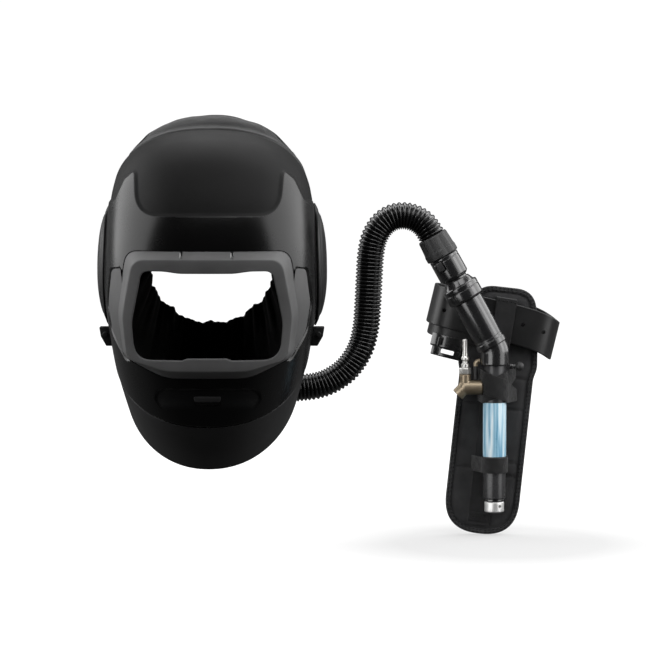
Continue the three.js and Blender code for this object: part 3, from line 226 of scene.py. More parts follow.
def wall_on(grid, outward, inner, outer, rim, extra=0.0):
    """A wall that follows a surface, with round edges. extra is added to the outer offset."""
    n = normals_of(grid, outward)
    r = min(rim, (outer - inner) / 2)
    d = np.clip(edge_distance(grid), 0, r)
    drop = (r - np.sqrt(np.maximum(r * r - (r - d) ** 2, 0)))[..., None]
    extra = np.asarray(extra, float)
    extra = extra[..., None] if extra.ndim else extra
    return solid(grid + n * (outer - drop + extra), grid + n * (inner + drop))


def spans(count, rim):
    """Evenly spread shares from 0 to 1, with more of them within rim of both ends."""
    near = np.array([0.1, 0.3, 0.6, 1.0]) * rim
    return np.unique(np.concatenate([np.linspace(0, 1, count + 1), near, 1 - near]))


def lathe(profile, sides=96):
    """A closed turned solid about Z from [radius, height] pairs."""
    profile = np.asarray(profile, float)
    angle = np.arange(sides) * 2 * math.pi / sides
    points, index = [], []
    for r, z in profile:
        if r < 1e-6:
            index.append([len(points)] * sides)
            points.append((0, 0, z))
        else:
            index.append(list(range(len(points), len(points) + sides)))
            points.extend((r * math.cos(a), r * math.sin(a), z) for a in angle)
    faces = []
    for k in range(len(profile)):
        one, two = index[k], index[(k + 1) % len(profile)]
        for j in range(sides):
            ring = [one[j], one[(j + 1) % sides], two[(j + 1) % sides], two[j]]
            face = [v for i, v in enumerate(ring) if v not in ring[:i]]
            if len(face) > 2:
                faces.append(face)
    return np.array(points), faces


def eased(profile, radius=0.8, steps=4):
    """The profile with its corners off the axis rounded."""
    profile = [np.array(p, float) for p in profile]
    out = []
    for i, p in enumerate(profile):
        before, after = profile[i - 1], profile[(i + 1) % len(profile)]
        a, b = before - p, after - p
        la, lb = np.linalg.norm(a), np.linalg.norm(b)
        if p[0] < 1e-6 or la < 1e-6 or lb < 1e-6:
            out.append(p)
            continue
        reach = min(radius, la * 0.45, lb * 0.45)
        start, end = p + a / la * reach, p + b / lb * reach
        for t in np.linspace(0, 1, steps + 1):
            out.append((1 - t) ** 2 * start + 2 * t * (1 - t) * p + t * t * end)
    return out


def tube(centres, tangents, radii, sides):
    """A round solid swept along centres, with a radius at each of them. Ends are closed."""
    angle = np.arange(sides)[:, None] * 2 * math.pi / sides
    level = np.array([0.0, 1, 0])
    rings = []
    for centre, tangent, radius in zip(centres, tangents, radii):
        t = tangent / np.linalg.norm(tangent)
        b = level - t * (level @ t)
        b /= np.linalg.norm(b)
        rings.append(centre + radius * (np.cos(angle) * np.cross(b, t) + np.sin(angle) * b))
    faces = grid_quads(len(rings), sides, 0, True).tolist()
    faces.append(list(range(sides))[::-1])
    faces.append(list(range((len(rings) - 1) * sides, len(rings) * sides)))
    return np.concatenate(rings), faces


def closed_line(line):
    return np.vstack([line, line[:1]])


def running(line):
    """How far along a line each of its points lies."""
    return np.concatenate([[0], np.cumsum(np.linalg.norm(np.diff(line, axis=0), axis=1))])


def walked(line, at):
    """The points that lie at these distances along a line."""
    return np.stack([np.interp(at, running(line), line[:, k]) for k in range(line.shape[1])], -1)


def evened(line, count, closed):
    """Points at even distances along a line. A closed one ends where it starts, and that point comes once."""
    return walked(line, np.linspace(0, running(line)[-1], count, endpoint=not closed))


def through(curves, shares):
    """Smooth curves through stacked points, one for each column."""
    out = []
    last = len(curves) - 2
    for x in np.asarray(shares) * (last + 1):
        i = min(int(x), last)
        t = x - i
        p1, p2 = curves[i], curves[i + 1]
        p0 = curves[i - 1] if i > 0 else 2 * p1 - p2
        p3 = curves[i + 2] if i < last else 2 * p2 - p1
        gaps = [np.linalg.norm(b - a, axis=1, keepdims=True) for a, b in ((p0, p1), (p1, p2), (p2, p3))]
        d0, d1, d2 = (np.maximum(gap**0.5, 1e-4) for gap in gaps)
        m1 = ((p1 - p0) / d0 - (p2 - p0) / (d0 + d1) + (p2 - p1) / d1) * d1
        m2 = ((p2 - p1) / d1 - (p3 - p1) / (d1 + d2) + (p3 - p2) / d2) * d1
        a, b = 2 * p1 - 2 * p2 + m1 + m2, -3 * p1 + 3 * p2 - 2 * m1 - m2
        out.append(((a * t + b) * t + m1) * t + p1)
    return np.array(out)


def rod(radius, length, sides=48, ease=0.4):
    return lathe(eased([[0, 0], [radius, 0], [radius, length], [0, length]], ease), sides)


def block(x, y, z, centre):
    p = np.array([[a, b, c] for a in (-x / 2, x / 2) for b in (-y / 2, y / 2) for c in (-z / 2, z / 2)])
    faces = [[0, 1, 3, 2], [4, 6, 7, 5], [0, 4, 5, 1], [2, 3, 7, 6], [0, 2, 6, 4], [1, 5, 7, 3]]
    return p + np.asarray(centre, float), faces


def turn(axis, angle):
    c, s = math.cos(angle), math.sin(angle)
    x, y, z = np.asarray(axis, float) / np.linalg.norm(axis)
    k = np.array([[0, -z, y], [z, 0, -x], [-y, x, 0]])
    return np.eye(3) + s * k + (1 - c) * k @ k


def aimed(shape, start, direction):
    """Points and faces about +Z, turned to a direction and moved to a start."""
    d = np.asarray(direction, float) / np.linalg.norm(direction)
    z = np.array([0.0, 0, 1])
    axis = np.cross(z, d)
    r = np.eye(3) if np.linalg.norm(axis) < 1e-9 else turn(axis, math.acos(np.clip(z @ d, -1, 1)))
    return shape[0] @ r.T + np.asarray(start, float), shape[1]


def placed(shape, place):
    return place(shape[0]), shape[1]


# Outlines in the front view, as X and Z
def mirrored(corners):
    return [*corners, *[(-x, z, r) for x, z, r in corners][::-1]]


def rounded(corners, steps=10):
    out = []
    for i, (x, z, radius) in enumerate(corners):
        here = np.array([x, z], float)
        a = np.array(corners[i - 1][:2], float) - here
        b = np.array(corners[(i + 1) % len(corners)][:2], float) - here
        if not radius:
            out.append(here)
            continue
        la, lb = np.linalg.norm(a), np.linalg.norm(b)
        half = math.acos(np.clip((a / la) @ (b / lb), -1, 1)) / 2
        reach = min(radius / math.tan(half), la * 0.48, lb * 0.48)
        start, end = here + a / la * reach, here + b / lb * reach
        shares = np.linspace(0, 1, steps + 1)
        out.extend((1 - t) ** 2 * start + 2 * t * (1 - t) * here + t * t * end for t in shares)
    return np.array(out)


def grown(outline, distance):
    area = np.sum(outline[:, 0] * np.roll(outline[:, 1], -1) - np.roll(outline[:, 0], -1) * outline[:, 1])
    along = np.roll(outline, -1, 0) - np.roll(outline, 1, 0)
    along /= np.linalg.norm(along, axis=1, keepdims=True)
    normal = np.stack([along[:, 1], -along[:, 0]], -1) * (1 if area > 0 else -1)
    return outline + normal * distance


def inside_by(points, outline):
    """How far each point lies inside an outline. Outside it is negative."""
    x, z = points[..., 0], points[..., 1]
    best = np.full(x.shape, 1e9)
    odd = np.zeros(x.shape, bool)
    for a, b in zip(outline, np.roll(outline, -1, 0)):
        e = b - a
        t = np.clip(((x - a[0]) * e[0] + (z - a[1]) * e[1]) / (e @ e + 1e-12), 0, 1)
        best = np.minimum(best, np.hypot(x - a[0] - t * e[0], z - a[1] - t * e[1]))
        if a[1] != b[1]:
            cross = (a[1] > z) != (b[1] > z)
            odd ^= cross & (x < e[0] * (z - a[1]) / e[1] + a[0])
    return np.where(odd, best, -best)


def step(value, width):
    t = np.clip(value / width, 0, 1)
    return t * t * (3 - 2 * t)


def prism(outline, low, high, axis=1):
    """A prism of an outline in the front view, or with axis 2 in the top view."""
    n = len(outline)
    points = np.concatenate([np.insert(outline, axis, end, axis=1) for end in (low, high)])
    faces = [[i, (i + 1) % n, (i + 1) % n + n, i + n] for i in range(n)]
    return points, [*faces, list(range(n))[::-1], list(range(n, 2 * n))]


def through_front(outline):
    return prism(outline, -224, -42)


# The helmet's skin: front, front height, rear, rear height, width and power of each leaning section
SKIN = np.array([
    (-0.2, 0.482, 0.04, 0.268, 0.945, 2.35),
    (-0.44, 0.449, 0.02, 0.235, 0.968, 2.3),
    (-0.655, 0.391, 0.015, 0.203, 0.982, 2.3),
    (-0.82, 0.314, 0.03, 0.165, 0.99, 2.35),
    (-0.92, 0.231, 0.045, 0.128, 0.994, 2.45),
    (-0.977, 0.133, 0.07, 0.08, 0.998, 2.6),
    (-1, 0, 0.1, 0, 1, 2.7),
    (-0.993, -0.133, 0.13, -0.067, 0.99, 2.6),
    (-0.957, -0.253, 0.157, -0.112, 0.965, 2.45),
    (-0.87, -0.392, 0.186, -0.16, 0.933, 2.25),
    (-0.79, -0.466, 0.24, -0.208, 0.895, 2.15),
    (-0.67, -0.528, 0.3, -0.259, 0.85, 2.1),
])
HOOD = np.array([
    (0.06, 0.522, 0.24, 0.225, 0.955, 2.2),
    (0.26, 0.524, 0.34, 0.21, 0.975, 2.15),
    (0.5, 0.488, 0.48, 0.185, 0.95, 2.1),
    (0.72, 0.408, 0.58, 0.16, 0.88, 2.05),
    (0.85, 0.29, 0.65, 0.135, 0.78, 2),
    (0.875, 0.19, 0.68, 0.115, 0.69, 2),
])
LAST = len(SKIN) - 1


def row_at(rows, v):
    v = np.asarray(v, float)
    last = len(rows) - 1
    i = np.clip(np.floor(v).astype(int), 0, last - 1)
    t = (v - i)[..., None]
    a, b, c, d = (rows[np.clip(i + k, 0, last)] for k in (-1, 0, 1, 2))
    return b + 0.5 * t * (c - a + t * (2 * a - 5 * b + 4 * c - d + t * (3 * (b - c) + d - a)))


def skin_point(rows, turning, v):
    turning, v = np.broadcast_arrays(np.asarray(turning, float), np.asarray(v, float))
    row = row_at(rows, v)
    front, front_height, rear, rear_height, width, power = np.moveaxis(row, -1, 0)
    angle = turning * math.pi / 2
    out = np.sign(turning) * np.abs(np.sin(angle)) ** (2 / power)
    ahead = np.maximum(np.cos(angle), 0) ** (2 / power)
    return np.stack([
        out * width * WIDTH / 2,
        REACH * (rear + (front - rear) * ahead),
        HEIGHT * (rear_height + (front_height - rear_height) * ahead),
    ], -1)


def row_where(height_at, z):
    """The row whose height is z, found by halving."""
    high, low = np.zeros(z.shape), np.full(z.shape, float(LAST))
    for _ in range(24):
        middle = (high + low) / 2
        above = height_at(middle) > z
        high, low = np.where(above, middle, high), np.where(above, low, middle)
    return high


def skin_depth(x, z):
    x, z = np.broadcast_arrays(np.asarray(x, float), np.asarray(z, float))

    def at(v):
        front, front_height, rear, rear_height, width, power = np.moveaxis(row_at(SKIN, v), -1, 0)
        ahead = (1 - np.minimum(np.abs(x) / (width * WIDTH / 2), 1) ** power) ** (1 / power)
        height = HEIGHT * (rear_height + (front_height - rear_height) * ahead)
        return height, REACH * (rear + (front - rear) * ahead)

    return at(row_where(lambda v: at(v)[0], z))[1]


def side_reach(z, y=REACH):
    z = np.asarray(z, float)

    def at(v):
        front, front_height, rear, rear_height, width, power = np.moveaxis(row_at(SKIN, v), -1, 0)
        ahead = np.clip((y / REACH - rear) / (front - rear), 0, 1)
        out = width * WIDTH / 2 * (1 - ahead**power) ** (1 / power)
        return HEIGHT * (rear_height + (front_height - rear_height) * ahead), out

    return at(row_where(lambda v: at(v)[0], z))[1] + RELIEF


def eased_turn(u):
    t = 2 * np.asarray(u) - 1
    return np.sign(t) * np.abs(t) ** 1.12


def skin_grid(u, v):
    return skin_point(SKIN, eased_turn(u)[None, :], np.asarray(v)[:, None])


LENS_TOP = -LENS_DROP + LENS_H / 2
LENS_BOTTOM = -LENS_DROP - LENS_H / 2
LENS_SIDE = LENS_W / 2
lens_outline = rounded(mirrored([
    (LENS_SIDE * 0.86, LENS_TOP, 10),
    (LENS_SIDE, LENS_TOP - LENS_H * 0.58, 50),
    (LENS_SIDE * 0.96, LENS_BOTTOM, 34),
]), 16)


def frame_outline(margin, rise):
    return rounded(mirrored([
        (LENS_SIDE * 0.86 + margin * 0.95, LENS_TOP + rise, 17),
        (LENS_SIDE + margin * 0.95, LENS_TOP - LENS_H * 0.5, 60),
        (LENS_SIDE * 0.96 + margin * 0.78, LENS_BOTTOM + margin * 0.05, 15),
        (LENS_SIDE * 0.55, LENS_BOTTOM - margin * 1.05, 60),
    ]), 12)


face_outline = frame_outline(FRAME_FACE, FRAME_FACE + 1)
edge_outline = frame_outline(FRAME_SIDE, FRAME_SIDE + FRAME_RISE)
crown_edge = HEIGHT * 0.23
peak_x, peak_z = WIDTH * 0.368, HEIGHT * 0.362
crown_outline = rounded(mirrored([
    (-WIDTH, HEIGHT, 0),
    (-WIDTH, crown_edge + 12, 0),
    (-peak_x - 20, crown_edge + 14, 8),
    (-peak_x - 8, peak_z - 10, 10),
    (-peak_x + 6, peak_z + 2, 8),
    (-peak_x + 10, crown_edge + 1, 34),
]))


def ear_outline(side):
    return rounded([
        (side * (LENS_SIDE + FRAME_SIDE - 6), LENS_TOP + 1, 2),
        (side * (LENS_SIDE + FRAME_SIDE + 5), LENS_TOP, 8),
        (side * (LENS_SIDE + FRAME_SIDE + 10), LENS_TOP - LENS_H * 0.4, 40),
        (side * (LENS_SIDE + FRAME_SIDE + 5), LENS_TOP - LENS_H * 0.72, 40),
        (side * (LENS_SIDE + 6), LENS_BOTTOM - 5, 8),
        (side * (LENS_SIDE - 4), LENS_BOTTOM + 6, 4),
        (side * (LENS_SIDE + 6), LENS_TOP - LENS_H * 0.6, 30),
    ])


recess_outline = rounded(mirrored([(53, -105, 10), (59, -115, 10), (48, -131, 16)]))


# Materials
def shader(name, colour, roughness, metallic=0.0, coat=0.0, coat_roughness=0.1, sheen=0.0, specular=0.5):
    m = bpy.data.materials.new(name)
    m.use_nodes = True
    b = m.node_tree.nodes["Principled BSDF"]
    b.inputs["Base Color"].default_value = (*colour, 1)
    b.inputs["Roughness"].default_value = roughness
    b.inputs["Metallic"].default_value = metallic
    b.inputs["Specular IOR Level"].default_value = specular
    b.inputs["Coat Weight"].default_value = coat
    b.inputs["Coat Roughness"].default_value = coat_roughness
    b.inputs["Sheen Weight"].default_value = sheen
    b.inputs["Sheen Roughness"].default_value = 0.5
    return m


class Nodes:
    """Short ways to add nodes to a material."""

    def __init__(self, material):
        self.tree = material.node_tree
        self.bsdf = self.tree.nodes.get("Principled BSDF")
        self.place = self.tree.nodes.new("ShaderNodeTexCoord").outputs["Object"]

    def new(self, kind, inputs=None, **values):
        node = self.tree.nodes.new(kind)
        for key, value in values.items():
            setattr(node, key, value)
        for key, value in (inputs or {}).items():
            if isinstance(value, bpy.types.NodeSocket):
                self.tree.links.new(value, node.inputs[key])
            else:
                node.inputs[key].default_value = value
        return node

    def mapped(self, scale=(1, 1, 1), rotation=(0, 0, 0)):
        node = self.new("ShaderNodeMapping", {"Vector": self.place})
        node.inputs["Scale"].default_value = scale
        node.inputs["Rotation"].default_value = rotation
        return node.outputs["Vector"]

    def noise(self, scale, detail=4, vector=None, roughness=0.55):
        inputs = {"Vector": vector or self.place, "Scale": scale, "Detail": detail, "Roughness": roughness}
        return self.new("ShaderNodeTexNoise", inputs).outputs["Fac"]

    def wave(self, scale, vector, distortion=0.0, direction="X"):
        inputs = {"Vector": vector, "Scale": scale, "Distortion": distortion, "Detail": 1.0}
        return self.new("ShaderNodeTexWave", inputs, bands_direction=direction).outputs["Fac"]

    def ranged(self, value, low, high, from_low=0.3, from_high=0.7):
        inputs = {"Value": value, "From Min": from_low, "From Max": from_high, "To Min": low, "To Max": high}
        return self.new("ShaderNodeMapRange", inputs).outputs["Result"]

    def math(self, operation, a, b):
        return self.new("ShaderNodeMath", {0: a, 1: b}, operation=operation).outputs[0]

    def blend(self, factor, a, b):
        node = self.new("ShaderNodeMix", data_type="RGBA")
        for key, value in (("Factor", factor), ("A", a), ("B", b)):
            socket = next(s for s in node.inputs if s.name == key and (key == "Factor" or s.type == "RGBA"))
            if isinstance(value, bpy.types.NodeSocket):
                self.tree.links.new(value, socket)
            else:
                socket.default_value = (*value, 1)
        return next(s for s in node.outputs if s.type == "RGBA")

    def link(self, output, name):
        self.tree.links.new(output, self.bsdf.inputs[name])

    def bump(self, height, strength, distance):
        node = self.new("ShaderNodeBump", {"Height": height, "Strength": strength, "Distance": distance})
        self.link(node.outputs["Normal"], "Normal")


def grey(level, blue):
    return (level, level, blue)


def plastic(name, colour, roughness, grain=1400.0, depth=0.00006, spread=0.06, coat=0.0, coat_roughness=0.1):
    """Moulded plastic: fine grain in the surface, patches of wear in gloss and colour."""
    m = shader(name, colour, roughness, coat=coat, coat_roughness=coat_roughness)
    n = Nodes(m)
    patch = n.noise(28, 5)
    n.link(n.ranged(patch, roughness - spread, roughness + spread), "Roughness")
    dull, bright = (tuple(c * share for c in colour) for share in (0.75, 1.25))
    n.link(n.blend(n.ranged(n.noise(11, 4), 0, 1), dull, bright), "Base Color")
    n.bump(n.noise(grain, 3), 0.35, depth)
    return m


def fabric(name, colour, thread, depth, fuzz=0.25, lighter=1.7):
    """Woven cloth: two crossing sets of threads, loose fibres, slow changes of shade."""
    m = shader(name, colour, 0.92, sheen=fuzz, specular=0.25)
    n = Nodes(m)
    vector = n.mapped(rotation=(0, 0, 0.785))
    weave = n.math("MAXIMUM", *(n.wave(thread / 6.28, vector, 0.6, way) for way in "XZ"))
    fibre = n.noise(2600, 4)
    n.bump(n.math("ADD", weave, n.math("MULTIPLY", fibre, 0.7)), 0.6, depth)
    shade = n.math("MULTIPLY", n.ranged(n.noise(35, 4), 0.3, 1.0), n.ranged(weave, 0.6, 1.0, 0, 1))
    n.link(n.blend(shade, tuple(c * 0.55 for c in colour), tuple(c * lighter for c in colour)), "Base Color")
    n.link(n.ranged(fibre, 0.86, 0.98), "Roughness")
    return m


shell_material = shader("shell", grey(0.0115, 0.012), 0.4, specular=0.4)
n = Nodes(shell_material)
grain_and_painted_light = n.new("ShaderNodeAttribute", attribute_name="grain_and_painted_light").outputs["Fac"]
patch = n.noise(24, 5)
n.link(n.math("ADD", n.ranged(patch, 0.24, 0.29), n.math("MULTIPLY", grain_and_painted_light, 0.28)), "Roughness")
# The mask's lighter colour is the crown panel's own finish; in the chin recess it is painted light.
n.link(n.blend(grain_and_painted_light, grey(0.0025, 0.0026), grey(0.008, 0.0082)), "Base Color")
n.link(n.ranged(grain_and_painted_light, 0.4, 0.14, 0, 1), "Specular IOR Level")
stipple = n.new("ShaderNodeTexVoronoi", {"Vector": n.place, "Scale": 1100.0}).outputs["Distance"]
coarse = n.math("MULTIPLY", stipple, grain_and_painted_light)
n.bump(n.math("ADD", coarse, n.math("MULTIPLY", n.noise(500, 3), 0.12)), 0.32, 0.00014)

matte = plastic("matte plastic", grey(0.016, 0.0165), 0.46, grain=1500, depth=0.0001)
chin_material = plastic("chin plastic", grey(0.018, 0.0184), 0.46, grain=1500, depth=0.00008)
frame_material = plastic("frame plastic", grey(0.13, 0.131), 0.6, grain=1700, depth=0.00009, spread=0.04)
gloss = plastic(
    "gloss plastic", grey(0.01, 0.0105), 0.26, grain=700, depth=0.00002, spread=0.035,
    coat=1.0, coat_roughness=0.12,
)
rubber = plastic(
    "hose plastic", grey(0.007, 0.0075), 0.24, grain=900, depth=0.00003, spread=0.05,
    coat=0.7, coat_roughness=0.14,
)
soft_rubber = plastic("soft rubber", grey(0.014, 0.0145), 0.55, grain=1600, depth=0.0001)
satin = plastic("satin tube", grey(0.034, 0.0355), 0.3, grain=1800, depth=0.00004, spread=0.05)
cloth = fabric("cover fabric", grey(0.018, 0.0185), thread=2300, depth=0.0005)
seal_cloth = fabric("seal fabric", grey(0.0025, 0.0026), thread=5200, depth=0.00018, fuzz=0.0, lighter=1.3)
nylon = fabric("pad nylon", grey(0.026, 0.0268), thread=6000, depth=0.00025, fuzz=0.05)
tape = fabric("binding tape", grey(0.027, 0.0278), thread=7000, depth=0.0002, fuzz=0.05)
webbing = fabric("webbing", grey(0.017, 0.0175), thread=3600, depth=0.0003, fuzz=0.05)
fuzzy = fabric("hook and loop", grey(0.011, 0.0113), thread=4200, depth=0.0005, fuzz=0.15)
# The stitch thread is near black as painted shade: its dark colour stands in for the shadow in the stitch
# holes.
thread_painted_dark = fabric("thread", grey(0.003, 0.0031), thread=9000, depth=0.0001, fuzz=0.1)

leather = shader("belt", grey(0.008, 0.0082), 0.4)
n = Nodes(leather)
pebble = n.new("ShaderNodeTexVoronoi", {"Vector": n.place, "Scale": 900.0}, feature="SMOOTH_F1")
pebble = pebble.outputs["Distance"]
n.bump(n.math("ADD", pebble, n.math("MULTIPLY", n.noise(300, 4), 0.5)), 0.25, 0.00012)
n.link(n.ranged(n.noise(30, 5), 0.33, 0.45), "Roughness")
n.link(n.blend(n.ranged(n.noise(18, 4), 0, 1), grey(0.006, 0.0062), grey(0.011, 0.0113)), "Base Color")


def metal(name, colour, roughness, dirt, metallic, brushed=0.15):
    m = shader(name, colour, roughness, metallic=metallic)
    n = Nodes(m)
    lines = n.noise(120, 3, n.mapped(scale=(14, 14, 1)))
    n.link(n.ranged(lines, roughness - 0.06, roughness + 0.08), "Roughness")
    n.link(n.blend(n.ranged(n.noise(60, 5), 0, 1), dirt, colour), "Base Color")
    n.bump(lines, brushed, 0.00004)
    return m


BRASS = (0.4, 0.33, 0.235)
brass = metal("brass", BRASS, 0.42, (0.24, 0.19, 0.13), 0.85)
steel = metal("steel", (0.82, 0.81, 0.78), 0.34, (0.722, 0.713, 0.686), 0.8)
plug_steel = metal("plug steel", grey(0.8, 0.79), 0.36, grey(0.704, 0.695), 0.6, 0.3)

label = shader("label", (0.4, 0.6, 0.72), 0.32, coat=0.3, coat_roughness=0.15)
n = Nodes(label)
streak = n.noise(34, 3, n.mapped(scale=(9, 9, 0.35)))
ramp = n.new("ShaderNodeValToRGB", {"Fac": streak})
stops = ramp.color_ramp.elements
stops[0].position, stops[0].color = 0.34, (0.09, 0.3, 0.47, 1)
stops[1].position, stops[1].color = 0.62, (0.72, 0.85, 0.9, 1)
stops.new(0.48).color = (0.36, 0.6, 0.74, 1)
n.link(ramp.outputs["Color"], "Base Color")
n.link(n.ranged(n.noise(160, 3), 0.26, 0.4), "Roughness")
n.bump(n.noise(240, 2), 0.1, 0.00005)

# Face shell
u = spans(300, 0.003)
v = spans(250, 0.003) * SEAM_ROW
grid = skin_grid(u, v)
front_view = grid[..., [0, 2]]
crown_inside = inside_by(front_view, crown_outline)
crown = step(crown_inside + 2.2, 4.4)
ears = step(np.max([inside_by(front_view, ear_outline(side)) for side in (1, -1)], 0) + 1.6, 1.4)
ears *= grid[..., 1] < -10
recess = step(inside_by(front_view, recess_outline) + 0.6, 1.6) * (grid[..., 1] < -40)
recess *= step(grid[..., 2] + 130, 15)
cut_back = -np.maximum(crown * RELIEF, np.maximum(ears * RELIEF, recess * 1.7))
shell = raw("face_shell", *wall_on(grid, AHEAD, -SHELL_WALL, RELIEF, 1.1, extra=cut_back))
marks = shell.data.attributes.new("grain_and_painted_light", "FLOAT", "POINT")
values = np.zeros(len(shell.data.vertices), np.float32)
# The crown panel and the chin recess both take the grain mask. In the recess its lighter colour is painted
# light, making up for the little light that reaches it below the frame.
values[: crown.size] = np.maximum(step(crown_inside + 2.6, 1.2), recess).reshape(-1)
marks.data.foreach_set("value", values)
combine(shell, through_front(grown(edge_outline, 0.8)))
slot_outline = rounded([(-15.2, -118.6, 0), (15.2, -118.6, 0), (13.4, -123.4, 2), (-13.4, -123.4, 2)], 4)
combine(shell, through_front(slot_outline))
near = skin_grid(spans(160, 0.004), np.linspace(2.6, 8.6, 110))
rebate = raw("rebate", *wall_on(near, AHEAD, -4.0, -2.3, 0.1))
combine(rebate, through_front(grown(edge_outline, 4)), "INTERSECT")
combine(rebate, through_front(grown(edge_outline, -1.6)))
combine(shell, rebate, "UNION")

HINGE_X, HINGE_Y, HINGE_Z = 28.0, 20.0 - 162.74, 194.7 - 155.4
LUG, HINGE_GAP, CHEEK = 2.4, 0.3, 1.6
lugs = []
for side in (1, -1):
    eye = lathe(eased([[1.7, 0], [3.0, 0], [3.0, LUG], [1.7, LUG]], 0.3), 32)
    lugs.append(raw("frame_hinge_lugs", *aimed(eye, (side * HINGE_X - LUG / 2, HINGE_Y, HINGE_Z), (1, 0, 0))))
    back = float(skin_depth(HINGE_X, HINGE_Z + 12.2)) + 1
    arm = block(LUG, back - HINGE_Y - 2.6, 4.1, (side * HINGE_X, (back + HINGE_Y + 2.6) / 2, HINGE_Z + 1.4))
    lugs.append(soften(raw("lug", *arm), 0.4))
    lugs.append(soften(raw("lug", *block(LUG, 2.6, 14.2, (side * HINGE_X, back - 0.4, HINGE_Z + 7.1))), 0.4))
dress(joined(lugs[0], *lugs[1:]), frame_material, angle=30)
dress(shell, shell_material, "outer_shell", angle=30)

# Chin guard
v = spans(70, 0.01) * (LAST - SEAM_ROW - 0.04) + SEAM_ROW + 0.04
grid = skin_grid(spans(300, 0.003), v)
chin = raw("chin_guard_shell", *wall_on(grid, AHEAD, -SHELL_WALL, RELIEF * 0.5, 0.5))
dress(chin, chin_material, "chin_guard", angle=30)

tab_y = float(skin_depth(0, -116)) - 0.7
tab_outline = rounded(mirrored([(15.2, -113.0, 1.8), (14.0, -119.0, 1.8)]), 6)
tab = soften(raw("chin_tab_lip", *prism(tab_outline, tab_y - 2.8, tab_y - 1.2)), 0.6, 3)
dress(tab, chin_material, "chin_tab")

# Lens frame: rings round the lens's centre, one point on each ray
centre = np.array([0.0, -LENS_DROP])
angles = np.arange(360) * 2 * math.pi / 360
rays = np.stack([np.cos(angles), np.sin(angles)], -1)


def reach_of(outline):
    """How far the outline lies from the centre along each ray."""
    best = np.zeros(len(rays))
    for a, b in zip(outline, np.roll(outline, -1, 0)):
        e = b - a
        o = a - centre
        crossing = rays[:, 0] * e[1] - rays[:, 1] * e[0]
        safe = np.where(np.abs(crossing) < 1e-9, 1, crossing)
        t = (o[0] * e[1] - o[1] * e[0]) / safe
        s = (o[0] * rays[:, 1] - o[1] * rays[:, 0]) / safe
        good = (np.abs(crossing) > 1e-9) & (t > 0) & (s >= -1e-9) & (s <= 1 + 1e-9)
        best = np.where(good, np.maximum(best, t), best)
    return best


lens, face, edge = (reach_of(outline) for outline in (lens_outline, face_outline, edge_outline))
brow = float(skin_depth(0, LENS_TOP + FRAME_SIDE))


def face_depth(x):
    return brow - FRAME_PROUD + FRAME_CROWN * (x / LENS_SIDE) ** 2


def ring(distance, deeper=0.0):
    """A ring on the frame's face, or behind it."""
    x, z = (centre + rays * distance[:, None]).T
    return np.stack([x, face_depth(x) + deeper, z], -1)


def on_slope(share, lift):
    """A ring on the bevel between the face and the skin."""
    out = ring(face + (edge - face) * share)
    low_x, low_z = (centre + rays * edge[:, None]).T
    low = skin_depth(low_x, low_z) - 1.4
    out[:, 1] = face_depth(face * rays[:, 0]) * (1 - share) + low * share - lift
    return out


INNER_LIP = [(0, FRAME_RETURN), (0, 4), (0, 1.5), (0.15, 0.8), (0.5, 0.3), (1.1, 0.04), (1.8, 0)]
BEVEL = [(0.03, 0), (0.09, 0.12), (0.3, 0.45), (0.5, 0.6), (0.7, 0.55), (0.88, 0.4), (0.96, 0.2), (1, 0)]
front_rings = [ring(lens + out, deeper) for out, deeper in INNER_LIP]
front_rings += [ring((lens + face) / 2), ring(face - 1.4), ring(face - 0.6, 0.12)]
front_rings += [on_slope(share, lift) for share, lift in BEVEL]
for r in front_rings[:7]:
    x, z = np.abs(r[:, 0]), r[:, 2]
    above = z > centre[1]
    r[:, 2] = np.where(above, z - 2.4 * step(52 - x, 26), z + 2.2 * step(28 - x, 7))
back_rings = []
for k, r in enumerate(front_rings):
    if k < 6:
        out, deeper = FRAME_WALL, min(FRAME_WALL, 0.6 * k)
    elif k < 10:
        out, deeper = FRAME_WALL * (0.6 - 0.35 * (k - 6)), FRAME_WALL
    else:
        out, deeper = -FRAME_WALL * (0.7 + 0.3 * (k - 10) / 7), FRAME_WALL * (1 - 0.5 * (k - 10) / 7)
    back_rings.append(r + np.insert(out * rays, 1, deeper, axis=1))
lens_frame = raw("lens_frame_ring", *solid(np.array(front_rings), np.array(back_rings), True))
for side in (1, -1):
    u = np.linspace(0.5, 1, 130) if side > 0 else np.linspace(0, 0.5, 130)
    skin = skin_grid(u, np.linspace(4.4, 8.6, 110))
    ear = raw("ear", *wall_on(skin, (side * 0.7, -0.7, 0), 0.8, 2.9, 0.1))
    combine(ear, through_front(ear_outline(side)), "INTERSECT")
    joined(lens_frame, soften(ear, 0.7, 3, 50))
for side in (1, -1):
    combine(lens_frame, block(LUG + 2 * HINGE_GAP, 30, 20, (side * HINGE_X, HINGE_Y + 10.8, HINGE_Z + 4)))
hinges = []
for side in (1, -1):
    for way in (1, -1):
        x = side * HINGE_X + way * (LUG / 2 + HINGE_GAP + CHEEK / 2)
        eye = aimed(rod(2.9, CHEEK, 32, 0.3), (x - CHEEK / 2, HINGE_Y, HINGE_Z), (1, 0, 0))
        hinges.append(raw("hinge", *eye))
        hinges.append(soften(raw("hinge", *block(CHEEK, 5.5, 4, (x, HINGE_Y - 1.8, HINGE_Z - 2.4))), 0.3))
    pin = aimed(rod(1.4, LUG + 2, 24, 0.2), (side * HINGE_X - LUG / 2 - 1, HINGE_Y, HINGE_Z), (1, 0, 0))
    hinges.append(raw("hinge", *pin))
joined(lens_frame, *hinges)
dress(lens_frame, frame_material, "lens_frame", "lens_frame", angle=28)

